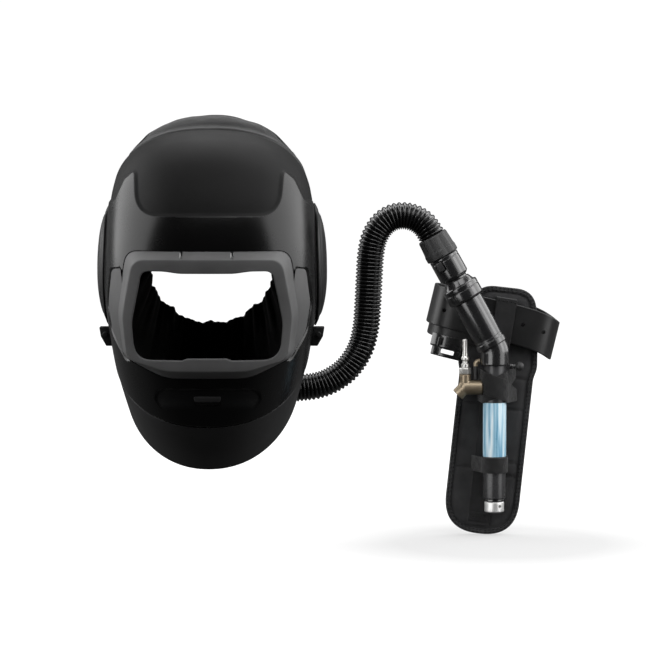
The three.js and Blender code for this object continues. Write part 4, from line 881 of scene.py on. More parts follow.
# Side covers and clips
for side, word in ((-1, "left"), (1, "right")):
    a, b = np.meshgrid(2 * spans(56, 0.02) - 1, 2 * spans(70, 0.02) - 1)
    across, up = a * np.sqrt(1 - b * b / 2), b * np.sqrt(1 - a * a / 2)
    rim = np.minimum(across**2 + up**2, 1)
    y, z = 25 + across * 48, 26 + up * 71
    dome = 8.6 * (1 - rim**1.3) - 0.9 * np.exp(-((rim - 0.72) / 0.05) ** 2)
    turned_in = step(rim - 0.86, 0.14) * (side_reach(z) - side_reach(z, y))
    grid = np.stack([side * (side_reach(z) + 1.8 * FIT + 2.4 + dome - turned_in), y, z], -1)
    cover = raw("side_cover_shell_" + word, *wall_on(grid, (side, 0, 0), -2.4, 0, 0.9))
    y, z = np.meshgrid(np.linspace(17, 21, 5), np.linspace(-39, 91, 60))
    rib = np.stack([side * (side_reach(z) + 1.8 * FIT + 1), y, z], -1)
    joined(cover, raw("rib", *wall_on(rib, (side, 0, 0), -3.2, 0, 0.5)))
    dress(cover, matte, "side_cover_" + word, angle=40)
    seat = [float(side_reach(z, 15.0)) + 1.5 * FIT for z in (-45.0, -67.0)]
    outline = rounded([
        (side * seat[0], -45, 0),
        (side * (seat[0] + 12.4), -45, 1.5),
        (side * (seat[0] + 10.54), -56, 3),
        (side * (seat[0] + 4.34), -67, 1.5),
        (side * seat[1], -67, 0),
    ], 6)
    clip = soften(raw("side_clip_body_" + word, *prism(outline, 1, 15)), 0.9, 3)
    pin = aimed(rod(3.0, 6, 32, 0.8), (side * (seat[0] + 5.4), -3.2, -53.5), (0, 1, 0))
    joined(clip, raw("pin", *pin))
    dress(clip, soft_rubber, "side_clip_" + word)

# Head cover
u = spans(200, 0.004)
columns = len(u)
base = skin_grid(u, np.linspace(0, 3, 37))
lining = base - 4.0 * normals_of(base, AHEAD)
curves = [lining[12], lining[6], lining[0]]
for values in HOOD:
    curves.append(skin_point(np.array([values, values]), eased_turn(u), 0.0))
curves = np.array(curves)
shares = spans(230, 0.006)
grid = through(curves, shares)


def ripples(grid, count, low, high, seed):
    """Soft folds: a sum of waves in several directions, between -1 and 1."""
    rng = np.random.RandomState(seed)
    total = np.zeros(grid.shape[:2])
    for _ in range(count):
        d = rng.normal(size=3)
        d /= np.linalg.norm(d)
        total += np.sin(grid @ d * 2 * math.pi / rng.uniform(low, high) + rng.uniform(0, 6.28))
    return total / count


free = step(shares[:, None] - 0.24, 0.16) * np.ones(columns)[None, :]
gathers = np.sin(np.linspace(0, 1, columns) * 2 * math.pi * 46)[None, :] * step(shares[:, None] - 0.7, 0.3)
folds = free * (1.7 * ripples(grid, 9, 38, 90, 3) + 0.7 * ripples(grid, 9, 12, 26, 5)) + 0.9 * gathers
from_edge = np.hypot(grid[..., 0] - curves[2][:, 0], grid[..., 2] - curves[2][:, 2])
near_edge = ((shares > 2 / (len(curves) - 1)) & (shares < 0.42))[:, None]
piping = 0.9 * np.exp(-(((from_edge - 5.4) / 0.9) ** 2)) - 1.5 * np.exp(-(((from_edge - 10) / 2.8) ** 2))
piping = (piping - 0.6 * np.exp(-(((from_edge - 2.4) / 1.2) ** 2))) * near_edge
seam = -1.1 * np.exp(-(((shares - 0.43) * 330) / 2.2) ** 2)[:, None]
seam = seam + 0.5 * np.exp(-(((shares - 0.43) * 330 - 5) / 3.0) ** 2)[:, None]
hem = 0.9 * step((shares[:, None] - 0.955) * 330, 2.5)
relief = np.minimum(folds + seam + hem + piping, 2.2)
hood = raw("head_cover_cloth", *wall_on(grid, (0, 0, 1), -1.8, 0, 0.8, extra=relief))
dress(hood, cloth, "head_cover", angle=60)

# Face seal
a = np.linspace(-1, 1, 420)
rows = np.linspace(0, 1, 36)


def seal_outer(a):
    turning = a * 0.82
    v = 10.1 - 4.9 * np.abs(a) ** 1.4
    near = skin_point(SKIN, turning, v)
    along = skin_point(SKIN, turning + 0.01, v) - near
    down = skin_point(SKIN, turning, v + 0.02) - near
    normal = np.cross(along, down)
    normal /= np.linalg.norm(normal, axis=1, keepdims=True)
    flip = np.sign(normal[:, 0] * near[:, 0] - 60 * normal[:, 1] + normal[:, 2] * near[:, 2])
    return near - normal * flip[:, None] * (SHELL_WALL + FIT + 1.2)


gather = np.cos(a * 33) + 0.9 * np.cos(a * 17) + 0.8 * np.cos(a * 64 + 1.3) * np.cos(a * 9)
gather += 0.3 * np.cos(a * 121 + 0.4)
angle = a * math.pi * 0.6
half = 71 - gather
rim = np.stack([half * np.sin(angle), np.full(len(a), 4.0), -40 + 66 * (1 - np.cos(angle)) + gather], -1)
outer = seal_outer(a)
grid = outer[None] * (1 - rows[:, None, None]) + rim[None] * rows[:, None, None]
grid[..., 1] += 10 * np.sin(math.pi * rows)[:, None]
pleat = np.cos(a * 58 + 1.5 * np.sin(a * 7)) + np.cos(a * 109) * 0.35
pleat = pleat[None, :] * np.sin(math.pi * rows[:, None] ** 1.3) ** 1.2
grid = grid + normals_of(grid, AHEAD) * pleat[..., None]
seal = raw("face_seal_cloth", *wall_on(grid, AHEAD, -0.8, 0.8, 0.6))
dress(seal, seal_cloth, "face_seal", angle=70)


# Air duct and cuff
inlet = np.array([math.sin(math.radians(14)), 0, -math.cos(math.radians(14))])
spigot_top = np.array([-46.0, REGULATOR_Y, -68.0])
cuff_start = spigot_top + inlet * 17
half_width = float(side_reach(-74.0)) - RELIEF - SHELL_WALL - 2 * FIT


def half_ring(half, depth):
    t = np.linspace(0, math.pi, 72)
    return np.stack([half * np.cos(t), 16 + depth * np.sin(t) ** 0.75], -1)


outline = np.concatenate([half_ring(half_width, 76), half_ring(half_width - 12, 64)[::-1]])
duct = soften(raw("air_duct_channel", *prism(outline, -80, -56, axis=2)), 3.0, 5, 50)
joined(duct, raw("spigot", *aimed(rod(11.5, 34, 48), spigot_top, inlet)))
dress(duct, matte, "air_duct", angle=40)
cuff = lathe(eased([
    [11.9, 0], [16.5, 0], [18, 2], [18, 5], [17.3, 6], [17.3, 7], [18, 8], [18, 16], [17.3, 17], [17.3, 18],
    [18, 19], [18, 22], [17, 24], [11.9, 24],
], 0.5, 3), 64)
dress(raw("hose_cuff", *aimed(cuff, cuff_start, inlet)), soft_rubber, "inlet_cuff")

# Breathing hose
LEAN = math.radians(29.1)
ELBOW = np.array([REGULATOR_X, REGULATOR_Y, -78.0])
down_axis = np.array([math.sin(LEAN), 0, -math.cos(LEAN)])
collar_start = ELBOW - down_axis * 153.4
hose_start = cuff_start + inlet * 24.3
hose_end = collar_start - down_axis * 0.3
ROUTE = [
    (-33, -116), (-17, -123.5), (4, -126), (28, -126), (54, -125.5), (80, -124.5), (105, -122.5),
    (120, -120.4), (136, -114.8), (155.5, -101), (171, -78), (177.7, -54), (180.5, -22), (182, 8),
    (184, 36), (188, 54), (196.5, 68.4), (207, 76.6), (220, 79.8), (234, 77.4), (245.5, 70.4),
]
route = [hose_start, hose_start + inlet * 6]
route += [np.array([x, REGULATOR_Y, z]) for x, z in ROUTE]
route += [hose_end - down_axis * 5, hose_end]
fine = through(np.array(route)[:, None], np.linspace(0, 1, 4000))[:, 0]
total = running(fine)[-1]
rings = round(total / 4.45)
s = np.linspace(0, total, rings * 10 + 1)
tangents = walked(fine, np.minimum(s + 1.5, total)) - walked(fine, np.maximum(s - 1.5, 0))
phase = s * rings / total
ridge = (0.5 - 0.5 * np.cos(2 * math.pi * phase)) ** 0.62
hose = raw("corrugated_hose", *tube(walked(fine, s), tangents, 13.9 + 2.3 * ridge, 56))
dress(hose, rubber, "breathing_hose", angle=80)


# Regulator, its leaning part: heights run up the axis from the elbow's corner
def leaning(points):
    p = np.asarray(points, float)
    c, s = math.cos(LEAN), math.sin(LEAN)
    return np.stack([p[:, 0] * c - p[:, 2] * s, p[:, 1], p[:, 0] * s + p[:, 2] * c], -1) + ELBOW


def upright(points):
    return np.asarray(points, float) + (ELBOW[0], ELBOW[1], 0)


def turned_piece(name, profile, place, ease, sides=96):
    return raw(name, *placed(lathe(eased(profile, ease), sides), place))


# The collar's grip has flat faces, so its radius changes round it
def gripped(profile, flats, depth, sides=240):
    points, faces = lathe(profile, sides)
    angle = np.arctan2(points[:, 1], points[:, 0])
    part = (angle * flats / (2 * math.pi)) % 1
    flat = 1 - depth * (1 - np.abs(2 * part - 1) ** 1.5)
    points[:, :2] *= flat[:, None]
    return points, faces


collar_profile = eased([
    [0, 125.8], [17.6, 125.8], [19.6, 127], [19.7, 134], [19.2, 135], [19.2, 135.6], [18.9, 136.4],
    [18.0, 151.6], [17.0, 153.4], [14.6, 153.4], [14.2, 152], [0, 152],
], 0.6)
points, faces = gripped(collar_profile, 8, 0.07)
dress(raw("hose_collar_grip", leaning(points), faces), matte, "hose_collar", angle=30)

coupling = turned_piece("coupling_shell", [
    [0, 83.1], [13.8, 83.1], [13.8, 96.4], [15.2, 97.2], [17.4, 99.4], [17.8, 100.2], [17.8, 120.8],
    [17.4, 121.2], [17.4, 121.8], [17.8, 122.2], [17.8, 125.4], [0, 125.4],
], leaning, 0.5, 128)
pocket = raw("tool", *placed(block(10.4, 8, 13.4, (-9, -15.4, 117.4)), leaning))
combine(coupling, soften(pocket, 2.4, 4))
latch = soften(raw("coupling_latch_body", *placed(block(9, 4.5, 12, (-9, -14.0, 117.4)), leaning)), 2.0, 5)
dress(coupling, gloss, "coupling_body", angle=32)
dress(latch, matte, "coupling_latch")

socket = turned_piece("socket_ring_body", [
    [14.2, 94.2], [15.6, 94.2], [16.0, 93.2], [19.0, 87.2], [20.9, 86.9], [21.7, 85.9], [21.7, 81.2],
    [21.2, 80.8], [21.2, 80.2], [21.7, 79.8], [21.7, 70.2], [20.5, 68.2], [0, 68.2], [0, 82.7], [14.2, 82.7],
], leaning, 0.45, 128)
ribs = []
for k in range(7):
    turned = math.radians(196 + 7 * k)
    points, faces = block(0.9, 0.7, 9, (21.6, 0, 75.0))
    points = points @ turn((0, 0, 1), turned).T
    ribs.append(soften(raw("rib", leaning(points), faces), 0.25))
joined(socket, *ribs)
dress(socket, gloss, "socket_ring", angle=32)

silencer = turned_piece("silencer_body", [
    [0, 5.4], [17.9, 5.4], [19.0, 6.2], [19.1, 6.8], [19.1, 11.8], [18.9, 12.3], [18.0, 12.8], [17.9, 13.6],
    [17.9, 15.6], [17.6, 15.9], [17.6, 16.4], [17.9, 16.7], [17.9, 67.2], [17.5, 67.6], [0, 67.6],
], leaning, 0.3, 128)
dress(silencer, gloss, "silencer_tube", angle=32)

# Elbow
bend = 19.2
tangent_run = bend * math.tan(LEAN / 2)
arc_centre = np.array([-bend, 0, -tangent_run])
turns = np.linspace(LEAN, 0, 26)
arc = [arc_centre + bend * np.array([math.cos(t), 0, math.sin(t)]) for t in turns]
start_point = arc[0] + np.array([-math.sin(LEAN), 0, math.cos(LEAN)]) * 0.06
straight = [np.array([0, 0, -tangent_run - d]) for d in (1.5, 4, 7, 9, 11.4, 12.3, 12.9)]
centres = np.array([start_point, *arc, *straight]) + ELBOW
tangents = np.gradient(centres, axis=0)
swell = np.full(len(centres), 17.2)
swell[-3:] = (17.2, 17.0, 16.4)
dress(raw("elbow_body", *tube(centres, tangents, swell, 96)), gloss, "elbow", angle=40)

# Upright tube, label, ring and plug
tube_top = ELBOW[2] - tangent_run - 12.9 - 0.3
tube_body = turned_piece("regulator_tube_body", [
    [0, -254], [12.7, -254], [13.3, -253.4], [13.3, -204.3], [12.5, -204.3], [12.5, -139.8], [13.3, -139.8],
    [13.3, tube_top], [0, tube_top],
], upright, 0.3)
dress(tube_body, satin, "regulator_tube", angle=32)
sleeve = [[12.8, -204], [13.75, -204], [13.75, -140.1], [12.8, -140.1]]
sleeve = turned_piece("label_wrap", sleeve, upright, 0.2)
dress(sleeve, label, "label_sleeve", angle=32)
ring_piece = turned_piece("end_ring", [
    [0, -257.3], [11.6, -257.3], [12, -256.9], [12, -254.7], [11.6, -254.3], [0, -254.3],
], upright, 0.3)
dress(ring_piece, gloss, "tube_end_ring", angle=32)
plug_top = -257.6
plug = turned_piece("plug_body", [
    [0, plug_top - 12.8], [10.2, plug_top - 12.8], [11.6, plug_top - 11.6], [11.6, plug_top - 1],
    [11.0, plug_top - 0.3], [10.6, plug_top], [0, plug_top],
], upright, 0.4)
for degrees in (31, 151, 271):
    t = math.radians(degrees)
    way = np.array([math.sin(t), -math.cos(t), 0])
    drilled = aimed(rod(1.9, 11.6, 32, 0), way * 4.64 + (0, 0, plug_top - 12.8 * 0.4), way)
    combine(plug, placed(drilled, upright))
dress(plug, plug_steel, "exhaust_plug", angle=32)


# Flow valve and knob
def sideways(points):
    """From an axis that runs up to the valve's, which runs to the right."""
    x, y, z = np.asarray(points, float).T
    return upright(np.stack([z, y, -x - 97.6], -1))


stem = turned_piece("valve_stem_body", [
    [0, 17.6], [3.4, 17.6], [3.4, 20.4], [2.6, 21.2], [2.6, 22.2], [3.2, 22.5], [3.2, 23.4], [2.6, 23.7],
    [2.6, 24.41], [0, 24.41],
], sideways, 0.25, 48)
dress(stem, gloss, "valve_stem")
ball = [[0, 25.11]]
for t in np.linspace(-math.pi / 2 + 0.62, math.pi / 2, 20):
    ball.append([max(5.4 * math.cos(t), 0), 29 + 5.4 * math.sin(t)])
ball[1][1] = 25.11
ball[-1][0] = 0
knob = raw("flow_knob_ball", *placed(lathe(ball, 64), sideways))
dress(knob, soft_rubber, "flow_knob", "flow_knob", angle=40)

# Air supply fitting
FITTING = np.array([295.2, REGULATOR_Y, -122.6])


def at_fitting(profile, sides=48, up=0.0, way=(0, 0, 1)):
    return aimed(lathe(profile, sides), FITTING + (0, 0, up), way)


wye = raw("wye_fitting_body", *at_fitting(eased([[0, 0], [6.6, 0], [6.6, 15.4], [0, 15.4]], 0.5)))
leg = eased([[0, 0], [7.8, 0], [7.8, 12.4], [4.6, 12.4], [4.2, 12.0], [4.2, 8.4], [0, 8.4]], 0.4)
combine(wye, at_fitting(leg, way=(-1, 0, -1)), "UNION")
feed = eased([[0, 0], [8.6, 0], [8.6, 19.6], [7.4, 21.2], [0, 21.2]], 0.6)
combine(wye, at_fitting(feed, way=(1, 0, 0)), "UNION")
hub = [[max(8.6 * math.cos(t), 0), 8.6 * math.sin(t)] for t in np.linspace(-math.pi / 2, math.pi / 2, 24)]
combine(wye, at_fitting(hub), "UNION")
grid_size = wye.modifiers.new("cast", "REMESH")
grid_size.mode = "VOXEL"
grid_size.voxel_size = 0.00035
rounder = wye.modifiers.new("round", "SMOOTH")
rounder.factor, rounder.iterations = 0.5, 10
settle(wye)
dress(wye, brass, "wye_fitting", angle=80)

NUT_UP, NUT_HIGH = 15.4 + 0.3, 7.6
profile = [[0, 0], [6.3, 0], [7.2, 1.0], [7.2, 6.6], [6.3, NUT_HIGH], [0, NUT_HIGH]]
points, faces = lathe(eased(profile, 0.2), 48)
angle = np.arctan2(points[:, 1], points[:, 0])
flat = math.cos(math.pi / 6) / np.cos((angle % (math.pi / 3)) - math.pi / 6)
points[:, :2] *= np.minimum(flat, 1.0)[:, None]
dress(raw("hex_nut", points + FITTING + (0, 0, NUT_UP), faces), steel, "nipple_nut", angle=20)
profile = [
    [0, 0], [4.6, 0], [4.6, 4], [3.1, 5.5], [3.0, 8], [4.5, 9.2], [4.6, 9.8], [4.6, 11.6], [4.3, 12.2],
    [3.5, 13.5], [3.0, 20], [3.0, 32.2], [2.3, 33.4], [1.8, 33.4], [1.8, 25.4], [0, 25.4],
]
nipple = raw("quick_connect_nipple", *at_fitting(eased(profile, 0.4), 64, NUT_UP + NUT_HIGH + 0.3))
dress(nipple, steel, "air_nipple", angle=40)
right = REGULATOR_X - 17.2 - 0.5
left = right - 4.4 - 0.4
low = FITTING[2] + 9.0 + 0.4
elbow_line = [(left, z) for z in np.linspace(low, -95.9, 8)]
turns = np.linspace(0.1, math.pi / 2, 12)
elbow_line += [(left + 4.4 * (1 - math.cos(t)), -95.9 + 4.4 * math.sin(t)) for t in turns]
elbow_line += [(right - 0.2, -91.5), (right, -91.5)]
centres = np.array([(x, REGULATOR_Y, z) for x, z in elbow_line])
small_elbow = tube(centres, np.gradient(centres, axis=0), np.full(len(centres), 3.0), 40)
# Below a set height the elbow fitting is painted near black and not metallic. This is painted shade where its
# lower part sits in shadow; above that height it is plain brass.
shade_painted = metal("sleeved brass", BRASS, 0.42, BRASS, 1.0)
n = Nodes(shade_painted)
height = n.new("ShaderNodeSeparateXYZ", {0: n.place}).outputs["Z"]
unshaded = n.ranged(height, 0, 1, -0.2925, -0.2915)
n.link(n.blend(unshaded, (0.012, 0.012, 0.012), BRASS), "Base Color")
n.link(n.ranged(unshaded, 0, 0.85, 0, 1), "Metallic")
dress(raw("side_elbow", *small_elbow), shade_painted, "elbow_fitting", angle=40)


def framed(turning, at):
    """A function that takes points out of a turned frame of their own, which lies at a place."""
    return lambda points: np.asarray(points, float).reshape(-1, 3) @ turning.T + at


# Back pad: its own leaning frame, with the front face at Y = 0
PAD_LEAN = math.radians(5)
on_pad = framed(turn((0, 1, 0), math.radians(6.4)) @ turn((1, 0, 0), -PAD_LEAN), (329.6, PAD_Y, PAD_Z))


def pad_front(z):
    return PAD_Y + (z - PAD_Z) * math.tan(PAD_LEAN)


PW, PH, BIND = 88.0, 296.0, 6.0
pad_outline = rounded([
    (-PW / 2, -PH / 2, 57), (PW / 2, -PH / 2, 57), (PW / 2, PH * 0.14, 30), (PW / 2 + 3.4, PH * 0.185, 30),
    (PW / 2 - 1, PH * 0.34, 70), (PW / 2 - 9, PH / 2 - 1, 91.2), (-PW / 2 + 9, PH / 2 - 1, 91.2),
    (-PW / 2 + 1, PH * 0.34, 70), (-PW / 2 - 3.4, PH * 0.185, 30), (-PW / 2, PH * 0.14, 30),
], 14)

pad_edge = evened(closed_line(pad_outline), 480, True)
inner_edge = grown(pad_edge, -BIND)
levels = np.concatenate([[1.0, 0.985, 0.96], np.linspace(0.92, 0.0, 26)])
spine_top, spine_low = PH / 2 - 46, -PH / 2 + 40
spine = np.stack([np.zeros(480), np.clip(inner_edge[:, 1], spine_low, spine_top)], -1)
sheet = spine[None] + (inner_edge - spine)[None] * levels[:, None, None]
# The side of each seam, its height and its rise
SEAMS = [
    (1, 39, 0.04), (1, 1, 0.06), (1, -62, 0.05), (1, -79, 0.08), (-1, -71, -0.02), (-1, 8, 0.04), (-1, 92, 0.1),
]


def quilted(p, depth_in):
    """How far the padding's face stands out from its seams."""
    x, z = p[..., 0], p[..., 1]
    near_line = np.min([np.abs(z - at - lean * x) + 40 * (x * side < 8) for side, at, lean in SEAMS], 0)
    puff = 1.9 * (1 - np.exp(-(near_line / 2.4) ** 2)) + 0.6 * (1 - np.exp(-(near_line / 12.0) ** 2))
    edge = 1 - np.exp(-(depth_in / 5.0) ** 1.5)
    wave = 0.5 * np.sin(x * 0.11 + z * 0.07) * np.sin(z * 0.045 + 1)
    return (puff + wave + 1.2) * edge


lift = quilted(sheet, np.maximum(inside_by(sheet, inner_edge), 0))
front = np.stack([sheet[..., 0], 1.2 - lift, sheet[..., 1]], -1)
back = np.stack([sheet[..., 0], 7.4 + lift * 0.6, sheet[..., 1]], -1)
faces = grid_quads(2 * len(levels), 480, 0, True)
pad = raw("padded_back", on_pad(np.concatenate([front[::-1], back])), faces)
bm = bmesh.new()
bm.from_mesh(pad.data)
bmesh.ops.remove_doubles(bm, verts=bm.verts, dist=0.0002)
bmesh.ops.holes_fill(bm, edges=[e for e in bm.edges if len(e.link_faces) == 1], sides=0)
bmesh.ops.recalc_face_normals(bm, faces=bm.faces)
bm.to_mesh(pad.data)
bm.free()
dress(pad, nylon, "back_pad", angle=70)

across = np.array([
    (0.2, 1.4), (-0.1, 0.2), (-0.7, -0.6), (-1.6, -0.95), (-3.4, -1.05), (-5.2, -0.95), (-5.9, -0.4),
    (-5.9, 9.4), (-5.2, 9.95), (-3.4, 10.05), (-1.6, 9.95), (-0.7, 9.6), (-0.1, 8.8), (0.2, 7.6),
])
rings_along = []
outward = grown(pad_edge, 1.0) - pad_edge
outward /= np.linalg.norm(outward, axis=1, keepdims=True)
puckers = 0.16 * np.sin(np.arange(480) * 2 * math.pi / 480 * 150)
for o, y in across:
    shift = o - 0.2 + puckers * (1 < abs(o) < 5)
    rings_along.append(np.insert(pad_edge + outward * shift[:, None], 1, y, axis=1))
faces = grid_quads(len(across) + 1, 480, 0, True) % (len(across) * 480)
binding = raw("binding_tape", on_pad(rings_along), faces)
dress(binding, tape, "pad_binding", angle=60)


def stitches(name, line, pitch=4.8, length=3.0, radius=0.75, place=on_pad):
    """A row of short threads along a line of points, all in one mesh."""
    line = np.asarray(line, float)
    end = running(line)[-1]
    at = np.arange(pitch / 2, end, pitch)
    ways = walked(line, np.minimum(at + 0.5, end)) - walked(line, np.maximum(at - 0.5, 0))
    half = length / 2
    bead = lathe([[0, -half], [radius, radius - half], [radius, half - radius], [0, half]], 6)
    points = [aimed(bead, start, way)[0] for start, way in zip(walked(line, at), ways)]
    faces = [[i + k * len(bead[0]) for i in f] for k in range(len(at)) for f in bead[1]]
    dress(raw(name, place(np.concatenate(points)), faces), thread_painted_dark, angle=80)


for inset, y, word in ((-2.0, -1.15, "outer_front"), (-4.9, -1.15, "inner_front"), (-4.9, 10.15, "back")):
    stitches("binding_stitches_" + word, np.insert(closed_line(grown(pad_edge, inset)), 1, y, axis=1))
for k, (side, at, lean) in enumerate(SEAMS):
    x = np.linspace(12, 35, 24) * side
    flat = np.stack([x, at + lean * x], -1)
    y = 1.1 - quilted(flat, np.maximum(inside_by(flat, inner_edge), 0))
    stitches("seam_stitches_%d" % k, np.stack([x, y, flat[:, 1]], -1), 3.0, 2.2, 0.3)

WEB_LEFT, WEB_RIGHT = -15.6, 10.4


def strip(name, low, high, y, thick, node):
    """A flat woven strip, a little thicker along its edges."""
    xs = WEB_LEFT + (WEB_RIGHT - WEB_LEFT) * spans(16, 0.04)
    x, z = np.meshgrid(xs, low + (high - low) * spans(60, 0.012))
    edge = np.minimum(x - WEB_LEFT, WEB_RIGHT - x)
    grid = np.stack([x, y - 0.25 * np.exp(-((edge - 1.4) / 0.9) ** 2), z], -1)
    woven = placed(wall_on(grid, AHEAD, -thick / 2, thick / 2, 0.7), on_pad)
    dress(raw(name, *woven), webbing, node, angle=60)


web_low, web_high = -PH / 2 + BIND + 4.2, PH * 0.13
strip("center_webbing_strap", web_low, web_high, -3.4, 1.6, "center_webbing")
strip("pull_tab_fold", web_low + 5, web_low + 15, -5.4, 1.8, "pull_tab")
for k in range(9):
    x = -12.8 + 2.6 * k
    ends = [(x, -6.45, web_low + 6.6), (x + 0.6, -6.45, web_low + 13.4)]
    stitches("tab_stitches_%d" % k, ends, 2.3, 1.9, 0.55)

# Belt
BELT_Z, BELT_ROLL = -44.5, math.radians(13.5)
BELT_HALF, BELT_DEEP = 78, 52
on_belt = framed(turn((0, 1, 0), BELT_ROLL), (333.0, 160.2, BELT_Z))


def belt_point(angle, inset=0.0):
    c, s = np.cos(angle), np.sin(angle)
    x = (BELT_HALF - inset) * np.sign(c) * np.abs(c) ** (2 / 8)
    y = -(BELT_DEEP - inset) * np.sign(s) * np.abs(s) ** (2 / 2.3)
    return np.stack([x, y, -10 * np.maximum(x / BELT_HALF, 0) ** 4], -1)


def ribbon(line, width, thick, closed, lowered=0.0, ease=0.9, crown=0.0):
    """A band on edge along a line, with its thickness towards the inside."""
    if closed:
        along = np.roll(line, -1, 0) - np.roll(line, 1, 0)
    else:
        along = np.gradient(line, axis=0)
    along[:, 2] = 0
    along /= np.linalg.norm(along, axis=1, keepdims=True)
    out = np.stack([along[:, 1], -along[:, 0], np.zeros(len(line))], -1)
    height = (spans(14, 0.03) - 0.5) * width
    r = min(ease, thick / 2)
    d = np.minimum(width / 2 - np.abs(height), r)
    drop = r - np.sqrt(np.maximum(r * r - (r - d) ** 2, 0))
    puff = crown * (1 - (2 * np.abs(height) / width) ** 4)
    base = line[None] + np.array([0, 0, 1.0]) * (height[:, None, None] - lowered)
    front, back = (base + out[None] * inwards[:, None, None] for inwards in (drop - puff, thick - drop))
    return placed(solid(front, back, closed), on_belt)


line = evened(belt_point(np.linspace(0, 2 * math.pi, 2000)), 420, True)
belt = raw("belt_band", *ribbon(line, 46.5, 3.4, True))
for share, z in ((0.414, 2), (0.744, -1), (-0.4, -3.4), (-0.8, -3.4)):
    combine(belt, placed(aimed(rod(2.4, 40, 40, 0), (share * BELT_HALF, -58, z), (0, 1, 0)), on_belt))
dress(belt, leather, "belt", angle=40)
inset = 4.2
line = evened(belt_point(math.pi / 2 + np.geomspace(0.002, math.pi * 0.85, 900), inset), 190, False)
inner = raw("belt_inner_band", *ribbon(line, 42.8, 3.4, False, 15))
dress(inner, leather, "belt_inner_end", angle=40)

BUCKLE_LOW = 33.4
line = evened(belt_point(np.linspace(math.pi * 0.5105, math.pi * 0.76, 300), inset - 0.5), 60, False)
buckle = raw("buckle_body", *ribbon(line, 16.1, 6, False, BUCKLE_LOW + 6.45, 1.6, crown=0.2))
combine(buckle, ribbon(line[:-7], 10.5, 3.3, False, BUCKLE_LOW + 19.25, 1.2), "UNION")
hole = raw("tool", *placed(block(15.6, 60, 5.2, (-47.1, -42, -BUCKLE_LOW - 17.6)), on_belt))
combine(buckle, soften(hole, 1.2, 3))
rib = raw("rib", *placed(block(3, 3, 11, (-60, -52.6, -BUCKLE_LOW - 7)), on_belt))
joined(buckle, soften(rib, 0.8, 3))
dress(buckle, gloss, "belt_buckle", angle=40)

# Belt loop panel, with a tongue at its top and at its foot that goes back to the pad
LOOP_Z = BELT_Z - 0.6 - 8.4 * math.tan(BELT_ROLL)
on_loop = framed(turn((0, 1, 0), BELT_ROLL * 0.7), (341.4, 0.0, LOOP_Z))
face_y = 108.2 - 0.5 - 1.6
x, z = np.meshgrid(-12.2 + 24.4 * spans(14, 0.04), np.linspace(-28.5, 28.5, 60))
grid = np.stack([x, face_y + 0.8 - 0.3 * np.cos(z * 0.05), z], -1)
loop = raw("belt_loop_panel", *placed(wall_on(grid, AHEAD, -0.8, 0.8, 0.7), on_loop))
tongues = []
for z in (27.7, -27.7):
    reach_back = pad_front(LOOP_Z + z) - face_y - 0.8
    tongue = block(24.4, reach_back, 1.6, (0, face_y + reach_back / 2, z))
    tongues.append(soften(raw("tongue", *placed(tongue, on_loop)), 0.5))
joined(loop, *tongues)
dress(loop, webbing, "belt_loop", angle=60)
for word, z in (("top", 25.2), ("low", -25.2)):
    ends = [(-11.2, face_y - 0.35, z), (11.2, face_y - 0.35, z)]
    stitches("loop_stitches_" + word, ends, place=on_loop)

# Straps over the upright tube
WRAP_TOP, WRAP_LOW = -101.8, -140.5
BOW = 13.3 + 0.5 + 0.4 + 0.9


def bridge(left, right, seat):
    """A strap's line round the tube, from the pad on the left to the pad on the right, as X and Y."""
    t = np.linspace(math.pi, 0, 60)
    bow = BOW * np.stack([np.cos(t), -np.sin(t)], -1)
    a, b = np.array([-left, seat]), np.array([right, seat])
    there = a + (bow[0] - a) * np.linspace(0, 0.95, 12)[:, None]
    back = bow[-1] + (b - bow[-1]) * np.linspace(0.05, 1, 12)[:, None]
    return np.concatenate([there, bow, back])


def band(name, line, low, high, thick, slope=0.0, lift=0.0):
    """A strap along a line. With a slope it crosses the tube aslant, within the wrap's height."""
    s = running(line)[-1] * spans(150, 0.004)
    x, y = walked(line, s).T
    z = low + (high - low) * spans(24, 0.03)[:, None] + slope * (s - s[-1] / 2)[None, :]
    if slope:
        z = np.clip(z, WRAP_LOW + 0.04 * (z - low), WRAP_TOP + 0.04 * (z - high))
    ripple = 0.25 * np.sin(s * 0.5)[None, :] * np.sin(z * 0.4)
    grid = np.stack([np.broadcast_to(x, z.shape), np.broadcast_to(y, z.shape), z], -1)
    grid = grid + normals_of(grid, AHEAD) * (lift + ripple)[..., None]
    return raw(name, *placed(wall_on(grid, AHEAD, -thick / 2, thick / 2, 0.8), upright))


middle_z = (WRAP_TOP + WRAP_LOW) / 2
line = bridge(18.5, 27, pad_front(middle_z) - REGULATOR_Y - 2.3)
port = placed(aimed(rod(9.7, 60, 48, 0), (0, 0, FITTING[2]), (-1, 0, 0)), upright)
for word, slope, lift, node in (("first", 0.36, -0.35, "wrap_strap"), ("second", -0.36, 0.95, ())):
    strap = band("wrap_strap_" + word, line, middle_z - 13, middle_z + 13, 1.0, slope, lift)
    dress(combine(strap, port), fuzzy, node, angle=60)
line = bridge(25.9, 15.3, pad_front(-214.15) - REGULATOR_Y - 3.8)
dress(band("lower_strap_band", line, -223.4, -204.9, 1.7), fuzzy, "lower_strap", angle=60)

# Camera, from the photograph's viewing angle
camera = in_scene("camera", bpy.data.cameras.new("camera"))
PITCH, AWAY = math.radians(4), 3200
aim = np.array([130.0, -140.0, -33.0])
camera.location = in_row(aim + AWAY * np.array([0, -math.cos(PITCH), math.sin(PITCH)]))[0].tolist()
camera.rotation_euler = (math.pi / 2 - PITCH, 0, 0)
camera.data.sensor_width = 36
camera.data.lens = 36 * (AWAY / 1.1) / 650
camera.data.clip_start, camera.data.clip_end = 0.1, 100
bpy.context.scene.camera = camera

